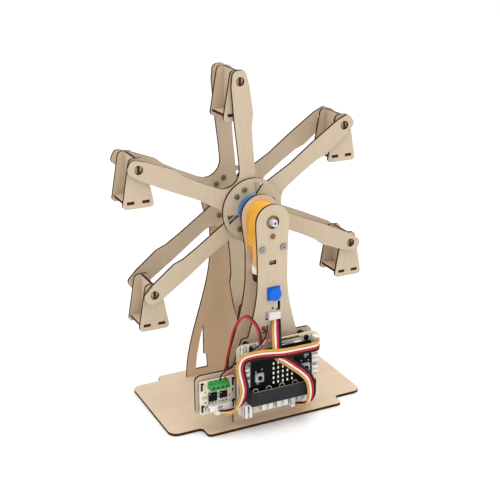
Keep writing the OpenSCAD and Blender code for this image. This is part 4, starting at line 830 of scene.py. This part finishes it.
def controller_parts():
    """Plain printed shapes on the controller's front, and the parts on its back."""
    b = Build()
    y, back = CTRL_Y, CTRL_Y + THICK
    shapes = [[(-24.6, 67.4), (-23.6, 67.9), (-11.6, 67.9), (-14.2, 64.3), (-25.2, 63.2)]]
    shapes += [[(s * 22.2, 40.4), (s * 19.6, 40.4), (s * 20.9, 42.6)] for s in (-1, 1)]
    for corners in shapes:
        b.extrude(corners, 1, y - 0.04, y - 0.005, 3)
    for x, z in ((-22.4, 51.3), (-17.2, 52.3), (20.5, 54.6), (23.0, 51.6), (16.9, 52.2)):
        b.box(x - 0.45, x + 0.45, y - 0.04, y - 0.005, z - 0.45, z + 0.45, 2)
    for k in range(8):
        x = 19.2 + 0.5 * k
        b.box(x, x + 0.25, y - 0.04, y - 0.005, 55.4 + 0.3 * (k % 3), 57.2, 2)
    for x in (-22.5, -17.5, 17.5, 22.5):
        for z in (44.08, 49.08):
            b.lathe([(0.42, -2.52), (0.42, -2.36)], (x, y, z), 1, 12, 0)
    b.box(-3.9, 3.9, back, back + 2.6, 63.2, 68.5, 4, 0.4)
    b.box(-3.1, 3.1, back + 0.6, back + 2.0, 68.3, 68.6, 0)
    b.box(12.2, 18.4, back, back + 3.6, 61.4, 67.6, 5, 0.3)
    b.box(-14.0, -9.6, back, back + 1.5, 62.6, 66.6, 4, 0.2)
    b.lathe([(1.1, 1.5), (1.1, 2.3), (0.9, 2.5)], (-11.8, back, 64.6), 1, 20, 0)
    for x, z, w in ((-4, 53, 7), (9, 55, 5), (-16, 50, 5)):
        b.box(x - w / 2, x + w / 2, back, back + 0.9, z - w / 2, z + w / 2, 0, 0.1)
    mats = [MAT[k] for k in ("black", "gold", "print", "teal", "tin", "shell")]
    b.done("controller_parts", mats)


def edge_socket():
    """Edge connector with a V shaped entry, so the board shows down to its gold fingers."""
    b = Build()
    b.extrude([(-67, 24.4), (-67, 35.5), (-66.8, 35.7), (-66.5, 35.7), (-62.85, 32.9),
               (-62.75, 26), (-60.7, 26), (-60.6, 32.9), (-58.4, 35.7), (-56.7, 35.7),
               (-56.5, 35.5), (-56.5, 24.4)], 0, -26, 26)
    for x0, x1 in ((-28, -26), (26, 28)):
        b.box(x0, x1, -67, -56.5, 24.4, 35.7, 0, 0.25)
    front = [(-63.9, 33.72), (-63.7, 33.95), (-62.82, 33.0), (-62.82, 31.5), (-63.1, 31.5),
             (-63.1, 33.0)]
    rear = [(-59.4, 34.45), (-59.6, 34.65), (-60.55, 33.3), (-60.55, 31.5), (-60.3, 31.5),
            (-60.3, 33.1)]
    for x in FINGER_XS:
        for spring in (front, rear):
            b.extrude(spring, 0, x - 0.28, x + 0.28, 1)
        b.box(x - 0.25, x + 0.25, -66.9, -66.6, 24.2, 24.45, 1)
    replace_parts(b.done("edge_socket", [MAT["dark"], MAT["gold"]]),
                "edge_connector")


def ring_pads():
    """Five plated rings round the board's holes, with painted shade inside them, and the fingers that go
    down into the socket.
    """
    b = Build()
    y = CTRL_Y
    for x in RING_XS:
        b.ring(1.92, 2.5, -0.1, -0.005, (x, y, RING_Z))
        # painted shade: a dark wall and a dark back in each hole
        b.ring(1.86, 1.93, -0.08, 1.62, (x, y, RING_Z), m=1)
        b.lathe([(1.9, 1.58), (1.88, 1.62)], (x, y, RING_Z), 1, 32, 1)
    for x in FINGER_XS:
        b.box(x - 0.54, x + 0.54, y - 0.06, y - 0.005, 27, 34.0, 0)
    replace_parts(b.done("ring_pads", [MAT["pad"], MAT["painted_shade"]]), "controller_pads")


def dial_turner():
    """Turning knob with a grip edge and a raised pointer, and painted shade in the gap round its foot."""
    b = Build()
    radius, notch, n = 5.2, 0.16, 72
    rings = []
    for y, inset in ((-47.15, 0.0), (-49.7, 0.0), (-50.0, 0.25), (-50.08, 0.6)):
        ring = []
        for k in range(n):
            a = 2 * math.pi * k / n
            r = radius - inset - (notch if k % 3 == 0 and inset == 0 else 0)
            ring.append((DIAL_X + r * math.cos(a), y, DIAL_Z + r * math.sin(a)))
        rings.append(ring)
    b.loft(rings)
    b.box(0.55, 1.05, -50.1, -49.9, 106.4, 109.9, 0, 0.1)
    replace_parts(b.done("dial_turner", [MAT["blue"]], "dial"), "dial_knob")
    g = Build()
    # painted shade: dark strips in the gap between the dial's base and the front board's window
    for x0, x1, z0, z1 in ((-4.72, -4.5, 100.3, 111.25), (-4.72, 6.2, 111.0, 111.25)):
        g.box(x0, x1, -46.56, -44.6, z0, z1)
    g.done("dial_gap_painted_shade", [MAT["painted_shade"]])


def dial_parts():
    """Pads seen in the slot below the dial, and the soldered legs behind its board."""
    b = Build()
    b.box(3.0, 4.75, -45.5, -44.3, 92.4, 98.8, 0, 0.15)
    b.box(4.8, 6.4, -45.3, -44.3, 92.0, 98.8, 1, 0.15)
    back = -43.1
    for k in range(3):
        b.box(3.4, 4.3, -45.62, -45.45, 93.4 + 1.9 * k, 94.2 + 1.9 * k, 2)
        b.lathe([(0.7, 0.02), (0.55, 0.5), (0.15, 0.9)], (-1.7 + 2.5 * k, back, 104.4), 1, 14, 2)
    for k in range(4):
        b.lathe([(0.6, 0.02), (0.48, 0.4), (0.12, 0.7)], (-2.2 + 2 * k, back, 87.6), 1, 14, 2)
    chip_two_pole(b, 7.6, 108, 1.6, 0.8, -44.3, 0.5, 1, 2)
    b.done("dial_parts", [MAT["shell"], MAT["black"], MAT["tin"]])


def outline_can(r, half):
    """Round can with two flats, as (x, y) corners round the motor's middle."""
    a, n = math.asin(half / r), 40
    turns = [-a + 2 * a * k / n for k in range(n + 1)]
    right = [(r * math.cos(t), r * math.sin(t)) for t in turns]
    return right + [(-x, -y) for x, y in right]


def motor_cap():
    """Black end of the motor below the strap, rounded at its lower edge, with two terminals."""
    b = Build()
    b.loft([[(x, y + MOTOR_Y, z) for x, y in outline_can(10.12 - inset, 7.62 - inset)]
            for z, inset in ((119.9, 0), (113.9, 0), (113.2, 0.2), (112.75, 0.6), (112.56, 1.2))])
    b.lathe([(2.6, -1.0), (2.6, 0.0), (2.2, 0.3)], (2.6, MOTOR_Y, 112.3), 2, 24, 0)
    for x in (-4, -8):
        b.box(x - 0.9, x + 0.9, -36.2, -35.8, 110.4, 112.6, 1, 0.1)
        b.lathe([(0.86, -1.6), (1.15, -1.0), (1.1, -0.2), (0.86, 0.2)], (x, -36, 111.6), 2, 16, 2)
    b.done("motor_end_cap", [MAT["black"], MAT["brass"], MAT["tin"]])


def shaft_tip():
    """Painted shade at the bottom of the screw hole in the end of the shaft: a dark disc inside a small rim.
    """
    b = Build()
    # painted shade: the dark disc in the hole
    b.lathe([(1.0, -0.02), (0.95, 0.02)], (0, -50.5, AXIS_H), 1, 24, 0)
    b.ring(1.0, 1.25, -0.05, 0.02, (0, -50.5, AXIS_H), m=1)
    b.done("shaft_tip", [MAT["painted_shade"], MAT["shaft"]], "wheel")


def battery_parts():
    """A coil spring at one end of each cell, a plate and the cell's cap at the other."""
    b = Build()
    steps, turns, wire, n, y = 60, 3, 0.32, 8, -34.95
    for z, way in ((8.65, 1), (20.75, -1)):
        coil = []
        for k in range(steps + 1):
            t = k / steps
            a, r = 2 * math.pi * turns * t, 3.4 - 1.5 * t
            coil.append(Vector((-way * (24.7 - 2.4 * t), y + r * math.cos(a),
                                z + r * math.sin(a))))
        verts = []
        for k, p in enumerate(coil):
            d = (coil[min(k + 1, steps)] - coil[max(k - 1, 0)]).normalized()
            u = Vector((1, 0, 0)).cross(d).normalized()
            w = d.cross(u)
            verts += [p + (u * math.cos(q) + w * math.sin(q)) * wire
                      for q in (2 * math.pi * m / n for m in range(n))]
        b.add(verts, [(k * n + m, k * n + (m + 1) % n, (k + 1) * n + (m + 1) % n, (k + 1) * n + m)
                      for k in range(steps) for m in range(n)])
        b.box(*sorted((way * 24.35, way * 24.75)), -38.6, -31.4, z - 3.4, z + 3.4, 0, 0.1)
        b.lathe([(2.1, -0.3 * way), (2.1, 1.2 * way), (1.8, 1.5 * way)], (way * 22.25, y, z),
                0, 20, 0)
    b.done("battery_contacts", [MAT["tin"]])


def plug_ribs():
    """Raised ribs on the white plugs of the ribbons, and their contact slots as painted shade: dark boxes.
    """
    b = Build()
    for k in range(4):
        x = -1.14 + 1.3 * k
        b.box(x, x + 0.5, -49.06, -48.95, 85.2, 86.4, 0)
    b.box(-3.7, 5.3, -49.2, -48.9, 89.5, 90.3, 0, 0.08)
    # painted shade: dark boxes where the contact slots are
    for k in range(4):
        z = 63.2 + 1.75 * k
        b.box(29.4, 31.6, -63.62, -63.45, z, z + 0.8, 1)
    b.done("plug_ribs", [MAT["shell"], MAT["painted_shade"]])


socket_shells()
driver_card()
driver_parts()
breakout_parts()
controller_parts()
edge_socket()
ring_pads()
dial_turner()
dial_parts()
motor_cap()
shaft_tip()
battery_parts()
plug_ribs()


# ---------------------------------------------------------------- stage and light
def stage():
    """A white floor just below the base, which takes its shadow."""
    bm = bmesh.new()
    bmesh.ops.create_grid(bm, x_segments=2, y_segments=2, size=14)
    me = bpy.data.meshes.new("floor")
    bm.to_mesh(me)
    bm.free()
    floor = bpy.data.objects.new("floor", me)
    scene.collection.objects.link(floor)
    floor.location.z = -0.0004
    k = Look("floor_paper", rough=0.9, spec=0.1)
    k.colour(k.ramp(k.noise(3, detail=2), [(0.3, rgb(252, 252, 252)), (0.7, rgb(254, 254, 254))]))
    me.materials.append(k.m)


def light(name, where, size, power):
    data = bpy.data.lights.new(name, "AREA")
    data.shape = "DISK"
    data.size = size
    data.energy = power
    obj = bpy.data.objects.new(name, data)
    scene.collection.objects.link(obj)
    obj.location = where
    obj.rotation_euler = (Vector((0, 0, 0.12)) - Vector(where)).to_track_quat("-Z", "Y").to_euler()


def lights():
    """A white world, which is also the background, and three soft lamps."""
    world = bpy.data.worlds.new("studio")
    scene.world = world
    world.use_nodes = True
    bg = world.node_tree.nodes["Background"]
    bg.inputs["Color"].default_value = (1, 1, 1, 1)
    bg.inputs["Strength"].default_value = 1.0
    light("key", (-0.9, -1.2, 0.8), 1.0, 0.8)
    light("top", (0.1, -0.2, 1.8), 1.4, 12)
    light("fill", (1.3, -1.0, 0.7), 1.2, 1)


stage()
lights()
scene.view_settings.view_transform = "Standard"
